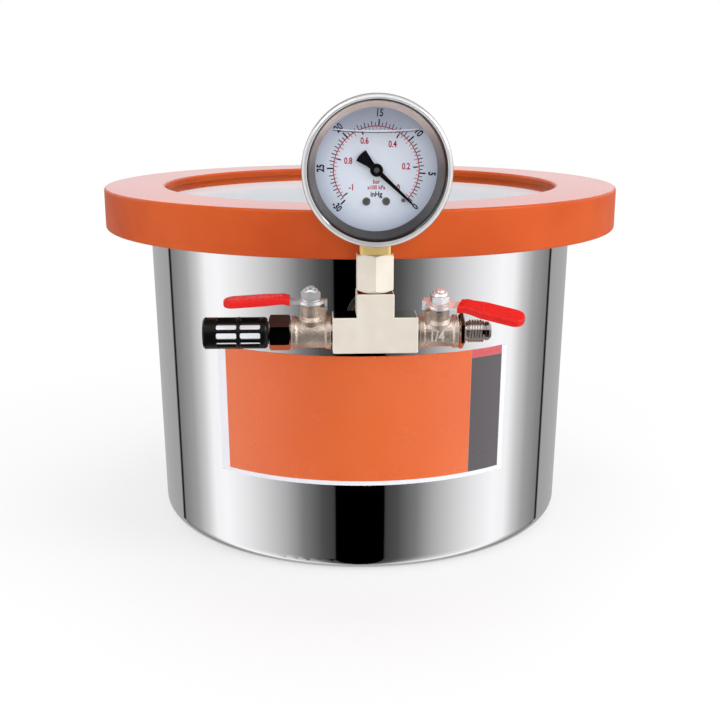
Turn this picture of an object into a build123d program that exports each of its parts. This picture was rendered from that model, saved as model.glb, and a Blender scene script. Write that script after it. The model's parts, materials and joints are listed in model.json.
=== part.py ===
from build123d import *
from math import acos, asin, cos, degrees, pi, radians, sin, sqrt, tan
import os

os.makedirs("parts", exist_ok=True)

# Degassing chamber: a drawn steel pot under a glass lid in a silicone ring, with a manifold on its front
# that carries a vacuum gauge, two ball valves, an air filter and a flare connection for the pump hose.
# Millimetres. +Z is up, the origin is the centre of the pot's base, and the manifold faces -Y.

# ---------------------------------------------------------------- driving dimensions

# Pot
pot_wall = 1.5
pot_base_radius = 123.8
pot_mouth_radius = 126.5
pot_height = 181.5
pot_base_fillet = 7.0
pot_mouth_fillet = 2.5
rim_width = 11.5
rim_roll_radius = 2.0
base_bead_radius = 63.0
base_bead_width = 6.0
base_bead_height = 0.8

# Lid: silicone ring and glass disc
gasket_overhang = 14.3
gasket_skirt_depth = 6.0
gasket_land = 3.2
gasket_lip = 4.3
gasket_inset = 9.5
gasket_edge_round = 1.5
gasket_rim_gap = 2.0
spigot_depth = 5.0
spigot_gap = 1.7
glass_thickness = 10.0
glass_overlap = 7.5
glass_edge_chamfer = 1.0
glass_groove_gap = 0.3

# Label on the pot's front, with its angles measured from the front towards +X
label_thickness = 0.3
label_gap = 0.12
label_start_angle = -40.0
label_end_angle = 36.5
label_drop = 22.2
label_height = 71.0

# Quarter-inch pipe threads, drawn as plain cylinders at their crests
thread_radius = 6.6
thread_gap = 0.05
passage_radius = 3.5
thread_length = 7.5
branch_drill_step = 0.2

# Manifold block: square bar, tee shaped
pipe_drop = 38.3
block_width = 40.0
block_height = 17.0
block_depth = 18.0
block_stem_width = 17.5
block_stem_rise = 19.6
block_chamfer = 0.5
port_depth = 8.5

# Bulkhead through the pot wall
bulkhead_seal_thickness = 2.0
bulkhead_seal_radius = 12.0
bulkhead_seal_gap = 0.1
bulkhead_washer_thickness = 1.5
bulkhead_hex = 20.0
bulkhead_hex_length = 6.0
bulkhead_neck_radius = 7.6
bulkhead_nut_hex = 19.0
bulkhead_nut_length = 5.5
bulkhead_thread_end = 2.5
wall_hole_gap = 0.2

# Ball valves
valve_length = 18.6
valve_ring_radius = 8.0
valve_ring_length = 2.6
valve_waist_radius = 7.3
valve_gap = 0.8
ball_radius = 4.0
ball_bore_radius = 2.0
ball_gap = 0.06
seat_radius = 4.65
seat_front = 3.0
seat_back = 4.2
seat_opening_radius = 2.25
seat_cone_angle = 38.0
seat_shoulder = 1.2
retainer_thickness = 1.7
boss_radius = 5.0
boss_top = 13.9
stem_radius = 2.4
stem_gap = 0.06
stem_head_radius = 2.85
stem_head_low = 4.05
stem_head_high = 5.6
tang_width = 1.6
tang_depth = 1.3
tang_gap = 0.05
packing_radius = 3.4
packing_length = 2.4
gland_length = 1.2
stem_flat_width = 3.4
stem_thread_radius = 2.0
stem_top = 22.3
left_valve_lean = 3.0
right_valve_lean = 18.0
left_lever_turn = 0.0
right_lever_turn = 23.0

# Valve levers
lever_gap = 0.4
lever_thickness = 1.6
lever_hub_radius = 6.0
lever_neck_width = 6.6
lever_bend_start = 7.5
lever_bend_end = 13.0
lever_bend_rise = 1.3
lever_end_margin = 2.0
lever_length = 39.4
lever_droop = 1.7
lever_grip_width = 8.6
tab_width = 4.0
tab_thickness = 1.4
tab_drop = 4.8
stop_lug_gap_angle = 2.0
stop_lug_angle = 18.0
stop_lug_height = 3.4
stop_lug_reach = 7.8
grip_start = 9.8
grip_wall = 1.1
grip_side_wall = 1.4
grip_round = 1.2
grip_neck_wall = 1.2
grip_taper_start = 15.5
grip_taper_end = 21.0
grip_taper_round = 9.0
lever_washer_radius = 4.8
lever_washer_thickness = 0.6
lever_nut_hex = 8.0
lever_nut_height = 3.5
lever_nut_collar = 1.3

# Air filter on the left valve
coupler_hex = 15.0
adapter_length = 10.0
filter_neck = 0.8
filter_length = 30.2
filter_radius = 7.5
filter_wall = 1.7
filter_cap_length = 3.6
filter_slot_length = 9.5
filter_slot_width = 2.9
filter_slot_count = 10
filter_slot_spacing = 1.6
filter_slot_start = 3.2
filter_bead = 0.9
element_wall = 2.2
element_gap = 0.1

# Flare connection on the right valve: quarter-inch flare, 7/16-20 thread
flare_hex_length = 2.8
flare_neck_radius = 4.7
flare_neck_length = 1.8
flare_thread_radius = 5.55
flare_thread_length = 7.4
flare_groove_length = 0.9
flare_nose_radius = 4.6
flare_nose_length = 2.6
flare_bore_radius = 2.4

# Gauge: case, bezel and window, measured along its axis from the stem's centre plane towards the front
gauge_adapter_hex = 17.0
gauge_adapter_length = 17.2
gauge_seat_gap = 0.8
gauge_square = 14.0
gauge_neck = 7.2
gauge_back = 10.5
gauge_back_gap = 2.2
case_radius = 31.3
case_wall = 0.8
case_round = 2.0
case_front = 15.2
case_flange = 1.1
case_flange_thickness = 1.2
window_seal_thickness = 0.7
window_thickness = 3.2
bezel_wall = 1.0
bezel_gap = 0.2
bezel_lip_width = 1.9
bezel_round = 2.1
bezel_inner_chamfer = 0.7
dial_front = 9.0
dial_thickness = 0.8
dial_gap = 0.2
dial_ring_foot = 27.5
dial_ring_top_wall = 0.25
dial_ring_foot_height = 0.8
dial_ring_gap = 0.1
dial_screw_spread = 4.45
dial_screw_drop = 14.0
dial_screw_radius = 1.8
dial_screw_shank = 0.9
dial_screw_head = 0.9
dial_screw_slot = 0.5
plug_radius = 4.4
plug_neck_radius = 3.0
plug_height = 1.4

# Pointer
pointer_zero_angle = -43.0
pointer_sweep = 265.0
pointer_length = 21.7
pointer_root_width = 2.3
pointer_tip_width = 0.9
pointer_tail_length = 10.0
pointer_tail_half_angle = 18.5
pointer_tail_neck = 3.4
pointer_thickness = 0.5
pointer_lift = 1.4
pointer_hub_radius = 2.9
pointer_hub_height = 1.5
arbor_head_radius = 1.2
arbor_head_height = 0.4
stop_pin_orbit = 18.1
stop_pin_radius = 0.85
stop_pin_height = 2.6
stop_pin_gap = 0.15

# Gauge movement
movement_half_gap = 4.0
plate_thickness = 0.8
plate_width = 17.0
plate_top = 5.5
plate_bottom = -24.0
arbor_radius = 0.7
arbor_gap = 0.04
pillar_radius = 1.2
pillar_spread = 6.3
pillar_height = 3.2
gear_module = 0.5
pinion_teeth = 10
sector_teeth = 50
gear_thickness = 1.0
pinion_thickness = 1.8
tooth_share = 0.40
tooth_addendum = 0.75
tooth_dedendum = 1.25
pressure_angle = 20.0
sector_margin = 10.0
sector_hub_radius = 2.2
sector_web_width = 2.4
sector_rim_width = 1.8
sector_spoke_inset = 6.0
tail_radius = 4.0
tail_angle = 12.0
tail_width = 2.0
link_pin_radius = 0.45
link_thickness = 0.8
link_width = 1.8
link_gap = 0.3
bourdon_radius = 23.5
bourdon_section = 2.6
bourdon_depth = 7.0
bourdon_wall = 0.5
bourdon_tip_angle = -20.0
bourdon_tip_length = 4.0
socket_width = 12.0
socket_top = -19.4

# ---------------------------------------------------------------- sizes that follow

male_radius = thread_radius - thread_gap
rim_radius = pot_mouth_radius + rim_width
gasket_radius = rim_radius + gasket_overhang
gasket_opening_radius = pot_mouth_radius - gasket_inset
glass_radius = pot_mouth_radius + glass_overlap
gasket_bottom = pot_height - gasket_skirt_depth
glass_bottom = pot_height + gasket_land
glass_top = glass_bottom + glass_thickness
gasket_top = glass_top + gasket_lip

manifold_reach = gasket_radius + gauge_back_gap + gauge_back
pipe_height = pot_height - pipe_drop
label_high = pipe_height - label_drop
label_low = label_high - label_height
block_half = block_width / 2
valve_half = valve_length / 2
valve_offset = block_half + valve_gap + valve_half
fitting_start = valve_offset + valve_half + valve_gap / 2
lever_low = boss_top + lever_gap
lever_high = lever_low + lever_thickness

adapter_low = pipe_height + block_stem_rise + gauge_seat_gap
socket_low = adapter_low + gauge_adapter_length
gauge_height = socket_low + gauge_neck + case_radius + 0.5
bezel_radius = case_radius + case_flange + bezel_gap + bezel_wall
window_back = case_front + window_seal_thickness
window_front = window_back + window_thickness
sector_drop = gear_module * (pinion_teeth + sector_teeth) / 2
sector_swing = pointer_sweep * pinion_teeth / sector_teeth

manifold_centre = Location((0, -manifold_reach, pipe_height))
gauge_place = Location((0, -manifold_reach, gauge_height)) * Rotation(90, 0, 0)
along_x = Rotation(0, 90, 0)
along_front = Rotation(90, 0, 0)


def pot_radius(height):
    """Outer radius of the pot's tapered wall at a height."""
    return pot_base_radius + (pot_mouth_radius - pot_base_radius) * height / pot_height


# ---------------------------------------------------------------- shared shapes


def lathe(*points):
    """Solid turned about +Z from (radius, height) points."""
    outline = Polyline(*[(radius, 0, height) for radius, height in points], close=True)
    return revolve(make_face(outline), Axis.Z, 360)


def rod(radius, start, end):
    """Round bar along +Z."""
    return Pos(0, 0, start) * extrude(Circle(radius), end - start)


def tube(outer, inner, start, end):
    """Round tube along +Z."""
    return rod(outer, start, end) - rod(inner, start, end)


def hex_bar(across_flats, length, turn=0):
    """Hexagon bar along +Z whose corners are turned off at both ends."""
    bar = extrude(Rotation(0, 0, turn) * RegularPolygon(across_flats / 2, 6, major_radius=False), length)
    corner = across_flats / sqrt(3)
    drop = (corner - across_flats / 2) * tan(radians(30))
    envelope = lathe(
        (0, 0),
        (across_flats / 2, 0),
        (corner, drop),
        (corner, length - drop),
        (across_flats / 2, length),
        (0, length),
    )
    return bar & envelope


def bar_between(start, end, width, thickness):
    """Flat bar with round ends between two points of the XY plane."""
    run = Vector(*end) - Vector(*start)
    middle = (Vector(*end) + Vector(*start)) / 2
    turn = degrees(Vector(1, 0, 0).get_signed_angle(run, Vector(0, 0, 1)) * pi / 180)
    outline = Pos(middle.X, middle.Y) * Rotation(0, 0, turn) * SlotCenterToCenter(run.length, width)
    return extrude(outline, thickness)


# ---------------------------------------------------------------- pot and lid


def chamber_pot():
    """Drawn steel pot: slightly tapered wall, flat rim with a rolled edge, and a pressed bead in its base."""
    half_bead = base_bead_width / 2
    slope = base_bead_height
    body = lathe(
        (0, 0),
        (base_bead_radius - half_bead, 0),
        (base_bead_radius - half_bead + slope, base_bead_height),
        (base_bead_radius + half_bead - slope, base_bead_height),
        (base_bead_radius + half_bead, 0),
        (pot_radius(0), 0),
        (pot_radius(pot_height - pot_wall), pot_height - pot_wall),
        (rim_radius - rim_roll_radius, pot_height - pot_wall),
        (rim_radius - rim_roll_radius, pot_height),
        (pot_radius(pot_height) - pot_wall, pot_height),
        (pot_radius(pot_wall) - pot_wall, pot_wall),
        (base_bead_radius + half_bead, pot_wall),
        (base_bead_radius + half_bead - slope, pot_wall + base_bead_height),
        (base_bead_radius - half_bead + slope, pot_wall + base_bead_height),
        (base_bead_radius - half_bead, pot_wall),
        (0, pot_wall),
    )
    rings = body.edges().filter_by(GeomType.CIRCLE)

    def ring_at(radius, height):
        return rings.sort_by(lambda e: abs(e.radius - radius) + abs(e.arc_center.Z - height))[0]

    outer_base = ring_at(pot_radius(0), 0)
    inner_base = ring_at(pot_radius(pot_wall) - pot_wall, pot_wall)
    mouth = ring_at(pot_radius(pot_height) - pot_wall, pot_height)
    under_rim = ring_at(pot_radius(pot_height - pot_wall), pot_height - pot_wall)
    body = fillet(outer_base, pot_base_fillet)
    body = fillet(body.edges().filter_by(GeomType.CIRCLE).sort_by(
        lambda e: abs(e.radius - inner_base.radius) + abs(e.arc_center.Z - pot_wall))[0],
        pot_base_fillet - pot_wall)
    body = fillet(body.edges().filter_by(GeomType.CIRCLE).sort_by(
        lambda e: abs(e.radius - mouth.radius) + abs(e.arc_center.Z - pot_height))[0], pot_mouth_fillet)
    body = fillet(body.edges().filter_by(GeomType.CIRCLE).sort_by(
        lambda e: abs(e.radius - under_rim.radius) + abs(e.arc_center.Z - pot_height + pot_wall))[0],
        pot_wall)
    roll_face = Pos(rim_radius - rim_roll_radius, 0, pot_height - rim_roll_radius) * Rotation(90, 0, 0)
    roll = revolve(roll_face * Circle(rim_roll_radius), Axis.Z, 360)
    hole = Pos(0, 0, pipe_height) * along_front * rod(
        thread_radius + wall_hole_gap, pot_base_radius / 2, rim_radius)
    return body + roll - hole


def lid_gasket():
    """Silicone ring: a groove holds the glass, a spigot centres it in the mouth, a skirt covers the rim."""
    spigot_radius = pot_mouth_radius - pot_wall - spigot_gap
    ring = lathe(
        (gasket_opening_radius, glass_top),
        (glass_radius + glass_groove_gap, glass_top),
        (glass_radius + glass_groove_gap, glass_bottom),
        (gasket_opening_radius, glass_bottom),
        (gasket_opening_radius, pot_height - spigot_depth),
        (spigot_radius, pot_height - spigot_depth),
        (spigot_radius, pot_height),
        (rim_radius + gasket_rim_gap, pot_height),
        (rim_radius + gasket_rim_gap, gasket_bottom),
        (gasket_radius, gasket_bottom),
        (gasket_radius, gasket_top),
        (gasket_opening_radius, gasket_top),
    )
    rims = ring.edges().filter_by(GeomType.CIRCLE)
    outer = rims.filter_by(lambda e: abs(e.radius - gasket_radius) < 0.01)
    lip = rims.filter_by(lambda e: abs(e.radius - gasket_opening_radius) < 0.01
                         and abs(e.arc_center.Z - gasket_top) < 0.01)
    return fillet(outer + lip, gasket_edge_round)


def glass_lid():
    """Toughened glass disc with ground edges."""
    disc = rod(glass_radius, glass_bottom, glass_top)
    return chamfer(disc.edges().filter_by(GeomType.CIRCLE), glass_edge_chamfer)


def front_label():
    """Printed film wrapped on the tapered wall."""
    low, high = pot_radius(label_low) + label_gap, pot_radius(label_high) + label_gap
    strip = make_face(Polyline(
        (low, 0, label_low),
        (low + label_thickness, 0, label_low),
        (high + label_thickness, 0, label_high),
        (high, 0, label_high),
        close=True,
    ))
    film = revolve(strip, Axis.Z, label_end_angle - label_start_angle)
    return Rotation(0, 0, label_start_angle - 90) * film


# ---------------------------------------------------------------- bulkhead and manifold block


def bulkhead_parts():
    """Fitting through the pot wall, with its seals, washer and lock nut, drawn along +Z from the pot's axis."""
    outside = pot_radius(pipe_height)
    inside = outside - pot_wall
    shoulder = outside + bulkhead_seal_thickness
    hex_end = shoulder + bulkhead_hex_length
    block_back = manifold_reach - block_depth / 2
    seal_inside = inside - bulkhead_seal_thickness - pot_wall / 2
    nut_start = seal_inside - bulkhead_washer_thickness
    nut_end = nut_start - bulkhead_nut_length
    fitting = (
        rod(male_radius, nut_end - bulkhead_thread_end, shoulder)
        + Pos(0, 0, shoulder) * hex_bar(bulkhead_hex, bulkhead_hex_length)
        + rod(bulkhead_neck_radius, hex_end, block_back)
        + rod(male_radius, block_back, block_back + thread_length - 1)
        - rod(passage_radius, 0, manifold_reach)
    )
    stack = Location((0, 0, pipe_height)) * along_front
    wall = lathe(
        (0, 0),
        (pot_radius(0) + bulkhead_seal_gap, 0),
        (pot_radius(pot_height) + bulkhead_seal_gap, pot_height),
        (0, pot_height),
    )
    bore = lathe(
        (0, 0),
        (pot_radius(0) - pot_wall - bulkhead_seal_gap, 0),
        (pot_radius(pot_height) - pot_wall - bulkhead_seal_gap, pot_height),
        (0, pot_height),
    )
    outer_seal = stack * tube(bulkhead_seal_radius, thread_radius, inside, shoulder) - wall
    inner_seal = stack * tube(bulkhead_seal_radius, thread_radius, seal_inside, outside) & bore
    washer = stack * tube(bulkhead_seal_radius + 0.5, thread_radius, nut_start, seal_inside)
    nut = stack * (Pos(0, 0, nut_end) * hex_bar(bulkhead_nut_hex, bulkhead_nut_length)
                   - rod(thread_radius, nut_end, nut_start))
    return {
        "bulkhead_fitting": stack * fitting,
        "bulkhead_outer_seal": outer_seal,
        "bulkhead_inner_seal": inner_seal,
        "bulkhead_washer": washer,
        "bulkhead_lock_nut": nut,
    }


def manifold_block():
    """Tee milled from square bar, with four ports that meet in the middle."""
    arms = Box(block_width, block_depth, block_height)
    stem = Pos(0, 0, block_stem_rise / 2) * Box(block_stem_width, block_depth, block_stem_rise)
    block = chamfer(arms.edges(), block_chamfer) + chamfer(stem.edges(), block_chamfer)
    across = along_x * rod(passage_radius, -block_half, block_half)
    upward = rod(passage_radius - branch_drill_step, 0, block_stem_rise)
    backward = along_front * rod(passage_radius - 2 * branch_drill_step, -block_depth / 2, 0)
    right_port = along_x * rod(thread_radius, block_half - port_depth, block_half)
    left_port = along_x * rod(thread_radius, -block_half, port_depth - block_half)
    top_port = rod(thread_radius, block_stem_rise - port_depth, block_stem_rise)
    back_port = along_front * rod(thread_radius, -block_depth / 2, thread_length - block_depth / 2)
    block = block - across - upward - backward - right_port - left_port - top_port - back_port
    return manifold_centre * block


def nipple(side):
    """Threaded tube that joins the block to a valve."""
    start = block_half - port_depth + 0.5
    end = valve_offset - seat_back - seat_shoulder - 0.1
    piece = along_x * tube(male_radius, passage_radius, start, end)
    return manifold_centre * (piece if side > 0 else mirror(piece, Plane.YZ))


# ---------------------------------------------------------------- ball valve, stem up, outlet towards +X


def stop_lug(angle):
    """Cast lug beside the boss that the lever's tab meets."""
    low = boss_top - 0.8 - stop_lug_height
    sector = extrude(make_face([
        Line((0, 0), (stop_lug_reach * cos(radians(stop_lug_angle / 2)),
                      -stop_lug_reach * sin(radians(stop_lug_angle / 2)))),
        CenterArc((0, 0), stop_lug_reach, -stop_lug_angle / 2, stop_lug_angle),
        Line((stop_lug_reach * cos(radians(stop_lug_angle / 2)),
              stop_lug_reach * sin(radians(stop_lug_angle / 2))), (0, 0)),
    ]), stop_lug_height + low)
    return Rotation(0, 0, angle) * sector


def valve_body():
    """Cast body: barrel with two end rings, boss for the stem and lugs that stop the lever."""
    ring_inner = valve_half - valve_ring_length
    barrel = along_x * lathe(
        (0, -valve_half),
        (valve_ring_radius - 0.3, -valve_half),
        (valve_ring_radius, -valve_half + 0.3),
        (valve_ring_radius, -ring_inner - 0.6),
        (valve_waist_radius, -ring_inner + 0.4),
        (valve_waist_radius, ring_inner - 0.4),
        (valve_ring_radius, ring_inner + 0.6),
        (valve_ring_radius, valve_half - 0.3),
        (valve_ring_radius - 0.3, valve_half),
        (0, valve_half),
    )
    boss = lathe(
        (0, 0),
        (boss_radius + 1.2, 0),
        (boss_radius + 1.2, valve_waist_radius - 1.0),
        (boss_radius, valve_waist_radius + 0.8),
        (boss_radius, boss_top - 0.3),
        (boss_radius - 0.3, boss_top),
        (0, boss_top),
    )
    tab_half_angle = degrees(asin(tab_width / 2 / (lever_hub_radius + lever_gap)))
    reach_angle = tab_half_angle + stop_lug_gap_angle + stop_lug_angle / 2
    lugs = stop_lug(180 + reach_angle) + stop_lug(90 - reach_angle)
    inlet = along_x * rod(thread_radius, -valve_half, -seat_back - seat_shoulder)
    throat = along_x * rod(passage_radius - 0.9, -valve_half, 0)
    cavity = along_x * rod(seat_radius + ball_gap, -seat_back, seat_back)
    outlet = along_x * rod(thread_radius, seat_back, valve_half)
    stem_bore = rod(stem_radius + stem_gap, 0, boss_top)
    head_pocket = rod(stem_head_radius + stem_gap, 0, stem_head_high + stem_gap)
    packing_bore = rod(packing_radius, boss_top - packing_length - gland_length, boss_top)
    return (barrel + boss + lugs - inlet - throat - cavity - outlet - stem_bore
            - head_pocket - packing_bore)


def valve_seats():
    """Two seat rings, one each side of the ball."""
    reach = ball_radius + ball_gap
    lean = radians(seat_cone_angle)
    ring = along_x * lathe(
        (seat_radius, seat_front),
        ((reach - seat_front * cos(lean)) / sin(lean), seat_front),
        (seat_opening_radius, (reach - seat_opening_radius * sin(lean)) / cos(lean)),
        (seat_opening_radius, seat_back),
        (seat_radius, seat_back),
    )
    return Compound(children=[ring, mirror(ring, Plane.YZ)])


def seat_retainer():
    """Threaded ring that holds the outlet's seat, with two slots for its key."""
    ring = along_x * tube(male_radius, passage_radius, seat_back, seat_back + retainer_thickness)
    slot = Pos(seat_back + retainer_thickness, 0, 0) * Box(retainer_thickness, thread_radius * 3, 1.2)
    return ring - slot


def stem_packing():
    """Soft ring round the stem."""
    top = boss_top - gland_length
    return tube(packing_radius - thread_gap, stem_radius + stem_gap, top - packing_length, top)


def packing_gland():
    """Ring that presses on the packing."""
    return tube(packing_radius - thread_gap, stem_radius + stem_gap, boss_top - gland_length, boss_top)


def valve_ball():
    """Drilled ball with a slot across its top for the stem's tang."""
    slot_floor = ball_radius - tang_depth
    slot = Pos(0, 0, slot_floor + ball_radius / 2) * Box(
        ball_radius * 2, tang_width + 2 * tang_gap, ball_radius)
    return Sphere(ball_radius) - along_x * rod(ball_bore_radius, -ball_radius, ball_radius) - slot


def valve_stem():
    """Stem put in from inside: tang, head, shaft, two flats for the lever and a threaded end."""
    tang_low = ball_radius - tang_depth + tang_gap
    tang_high = stem_head_low
    tang_length = 2 * sqrt(ball_radius**2 - (ball_radius - tang_depth / 2) ** 2)
    tang = Pos(0, 0, (tang_low + tang_high) / 2) * Box(tang_length, tang_width, tang_high - tang_low)
    shaft = lathe(
        (0, stem_head_low),
        (stem_head_radius, stem_head_low),
        (stem_head_radius, stem_head_high),
        (stem_radius, stem_head_high),
        (stem_radius, lever_high),
        (stem_thread_radius, lever_high),
        (stem_thread_radius, stem_top - 0.4),
        (stem_thread_radius - 0.4, stem_top),
        (0, stem_top),
    )
    flat = Pos(0, stem_flat_width / 2 + stem_radius / 2, (lever_low + stem_top) / 2) * Box(
        stem_radius * 2, stem_radius, stem_top - lever_low)
    return tang + shaft - flat - mirror(flat, Plane.XZ)


def lever_side(low, high, start, end):
    """Side view of the lever between two stations, as a closed outline in XZ: flat, risen, then level."""
    slope = lever_droop / (lever_length - lever_bend_end)

    def path(x):
        if x <= lever_bend_start:
            return 0
        if x <= lever_bend_end:
            return lever_bend_rise * (x - lever_bend_start) / (lever_bend_end - lever_bend_start)
        return lever_bend_rise - slope * (x - lever_bend_end)

    stations = [start] + [x for x in (lever_bend_start, lever_bend_end) if start < x < end] + [end]
    lower = [(x, 0, low + path(x)) for x in stations]
    upper = [(x, 0, high + path(x)) for x in reversed(stations)]
    return make_face(Polyline(*lower, *upper, close=True))


def valve_lever():
    """Pressed steel lever with a cranked arm and a tab bent down behind the hub."""
    side = extrude(lever_side(lever_low, lever_high, -lever_hub_radius - lever_end_margin, lever_length),
                   lever_hub_radius * 2, both=True)
    grip_middle = (lever_bend_end + lever_length) / 2
    plan = (
        Circle(lever_hub_radius)
        + Pos(lever_bend_end / 2, 0) * Rectangle(lever_bend_end, lever_neck_width)
        + Pos(grip_middle, 0) * RectangleRounded(
            lever_length - lever_bend_end + lever_end_margin, lever_grip_width, lever_grip_width / 2 - 0.3)
    )
    arm = side & extrude(plan, stem_top)
    tab_outer = lever_hub_radius + lever_gap + tab_thickness
    tab_plate = Pos(-tab_outer / 2, 0, lever_low + lever_thickness / 2) * Box(
        tab_outer, tab_width, lever_thickness)
    tab = Pos(-tab_outer + tab_thickness / 2, 0, lever_high - tab_drop / 2) * Box(
        tab_thickness, tab_width, tab_drop)
    hole = rod(stem_radius, lever_low, lever_high) & Pos(0, 0, lever_low + lever_thickness / 2) * Box(
        stem_radius * 2, stem_flat_width, lever_thickness)
    return arm + tab_plate + tab - hole


def lever_grip():
    """Dipped vinyl sleeve over the lever's arm."""
    end = lever_length + grip_side_wall
    side = extrude(lever_side(lever_low - grip_wall, lever_high + grip_wall, grip_start, end),
                   lever_grip_width, both=True)
    half = lever_grip_width / 2 + grip_side_wall
    neck = lever_neck_width / 2 + grip_neck_wall
    outline = [(grip_start, neck), (grip_taper_start, neck), (grip_taper_end, half), (end, half)]
    plan = make_face(Polyline(*outline, *[(x, -y) for x, y in reversed(outline)], close=True))
    stations = plan.vertices().group_by(Axis.X)
    plan = fillet(stations[-1], half - 0.6)
    waist = [v for v in plan.vertices() if grip_taper_start - 0.1 < v.X < grip_taper_end + 0.1]
    plan = fillet(waist, grip_taper_round)
    sleeve = side & extrude(plan, stem_top)
    rim = [edge for edge in sleeve.edges() if edge.center().X > grip_start + 0.1
           and abs(edge.center().Y) > grip_side_wall / 2 and abs(edge.tangent_at(0.5).Z) < 0.5]
    sleeve = fillet(rim, grip_round)
    return sleeve - valve_lever()


def lever_washer():
    """Spring washer under the nut."""
    return tube(lever_washer_radius, stem_thread_radius + 0.1, lever_high, lever_high + lever_washer_thickness)


def lever_nut():
    """Self-locking nut with a round collar."""
    low = lever_high + lever_washer_thickness
    top = low + lever_nut_height
    collar = lathe(
        (0, top - 0.5),
        (lever_nut_hex / 2 - 0.3, top - 0.5),
        (lever_nut_hex / 2 - 0.3, top + lever_nut_collar - 0.8),
        (lever_nut_hex / 2 - 1.0, top + lever_nut_collar),
        (0, top + lever_nut_collar),
    )
    body = Pos(0, 0, low) * hex_bar(lever_nut_hex, lever_nut_height)
    return body + collar - rod(stem_thread_radius + 0.05, low, top + lever_nut_collar)


def valve_parts(side, name, lean, turn):
    """All pieces of one valve, placed beside the block; the left one is the mirror image of the right."""
    swing = Rotation(0, 0, -turn)
    fixed = {
        "valve_body": valve_body(),
        "valve_seats": valve_seats(),
        "seat_retainer": seat_retainer(),
        "stem_packing": stem_packing(),
        "packing_gland": packing_gland(),
    }
    turning = {
        "valve_ball": swing * valve_ball(),
        "valve_stem": swing * valve_stem(),
        "lever": swing * valve_lever(),
        "lever_grip": swing * lever_grip(),
        "lever_washer": swing * lever_washer(),
        "lever_nut": swing * lever_nut(),
    }
    place = manifold_centre * Location((side * valve_offset, 0, 0)) * Rotation(lean, 0, 0)
    return {
        f"{name}_{part}": place * (shape if side > 0 else mirror(shape, Plane.YZ))
        for part, shape in {**fixed, **turning}.items()
    }


# ---------------------------------------------------------------- filter and flare connection


def coupling_thread():
    """Male thread that screws into a valve's outlet, up to the fitting's shoulder."""
    start = valve_offset + seat_back + retainer_thickness + 0.1
    return rod(male_radius, start, fitting_start)


def filter_adapter():
    """Hexagon adapter between the left valve and the filter."""
    end = fitting_start + adapter_length
    piece = (
        coupling_thread()
        + Pos(0, 0, fitting_start) * hex_bar(coupler_hex, adapter_length)
        - rod(passage_radius - 0.3, 0, end)
        - rod(thread_radius, end - thread_length, end)
    )
    return manifold_centre * mirror(along_x * piece, Plane.YZ)


def filter_parts():
    """Moulded cage with two rows of slots, its porous element and its end cap."""
    start = fitting_start + adapter_length + filter_neck
    end = start + filter_length
    inner = filter_radius - filter_wall
    cavity_end = end - filter_cap_length
    cage = lathe(
        (0, start - thread_length),
        (male_radius, start - thread_length),
        (male_radius, start),
        (filter_radius - 0.9, start),
        (filter_radius, start + 1.2),
        (filter_radius, cavity_end),
        (0, cavity_end),
    )
    cavity_start = start + filter_slot_start - 1.0
    cage = cage - rod(passage_radius - 0.5, start - thread_length, end) - rod(inner, cavity_start, end)
    slot = Pos(0, 0, filter_slot_length / 2) * along_front * extrude(
        RectangleRounded(filter_slot_width, filter_slot_length, 0.8), filter_radius + 2)
    for row in range(2):
        row_start = start + filter_slot_start + row * (filter_slot_length + filter_slot_spacing)
        for place in PolarLocations(0, filter_slot_count, start_angle=-90):
            cage = cage - Pos(0, 0, row_start) * place * slot
    band_middle = start + filter_slot_start + filter_slot_length + filter_slot_spacing / 2
    cap = lathe(
        (0, cavity_end - 2.2),
        (inner - element_gap, cavity_end - 2.2),
        (inner - element_gap, cavity_end),
        (filter_radius, cavity_end),
        (filter_radius, end - filter_bead),
        (filter_radius - filter_bead, end),
        (0, end),
    )
    notch = Pos(0, filter_radius, end) * Box(2.0, 1.6, filter_cap_length * 1.2)
    for place in PolarLocations(0, 6, start_angle=30):
        cap = cap - place * notch
    element = tube(inner - element_gap, inner - element_gap - element_wall,
                   cavity_start, cavity_end - 2.2)
    rib = tube(filter_radius + 0.15, filter_radius - 0.5, band_middle - 0.45, band_middle + 0.45)
    pieces = {"filter_cage": cage + rib, "filter_element": element, "filter_end_cap": cap}
    return {name: manifold_centre * mirror(along_x * piece, Plane.YZ) for name, piece in pieces.items()}


def flare_fitting():
    """Flare connection for the pump hose: thin hexagon, relieved neck, thread and nose."""
    hex_end = fitting_start + flare_hex_length
    thread_start = hex_end + flare_neck_length
    thread_end = thread_start + flare_thread_length
    nose_start = thread_end + flare_groove_length
    nose_end = nose_start + flare_nose_length
    groove_radius = flare_nose_radius - 0.6
    nose = lathe(
        (0, hex_end),
        (flare_neck_radius, hex_end),
        (flare_neck_radius, thread_start),
        (flare_thread_radius, thread_start),
        (flare_thread_radius, thread_end),
        (groove_radius, thread_end),
        (groove_radius, nose_start),
        (flare_nose_radius, nose_start),
        (flare_nose_radius, nose_end - 1.2),
        (flare_nose_radius - 1.2, nose_end),
        (0, nose_end),
    )
    piece = (
        coupling_thread()
        + Pos(0, 0, fitting_start) * hex_bar(coupler_hex, flare_hex_length)
        + nose
        - rod(flare_bore_radius, 0, nose_end)
    )
    return manifold_centre * along_x * piece


# ---------------------------------------------------------------- gauge body


def gauge_adapter():
    """Hexagon adapter, corner to the front, between the block and the gauge."""
    top = adapter_low + gauge_adapter_length
    male_low = adapter_low - gauge_seat_gap - thread_length
    piece = (
        Pos(0, 0, adapter_low) * hex_bar(gauge_adapter_hex, gauge_adapter_length, turn=30)
        + rod(male_radius, male_low, adapter_low)
        - rod(passage_radius - 0.5, male_low, top)
        - rod(thread_radius, top - port_depth, top)
    )
    return Pos(0, -manifold_reach, 0) * piece


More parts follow.
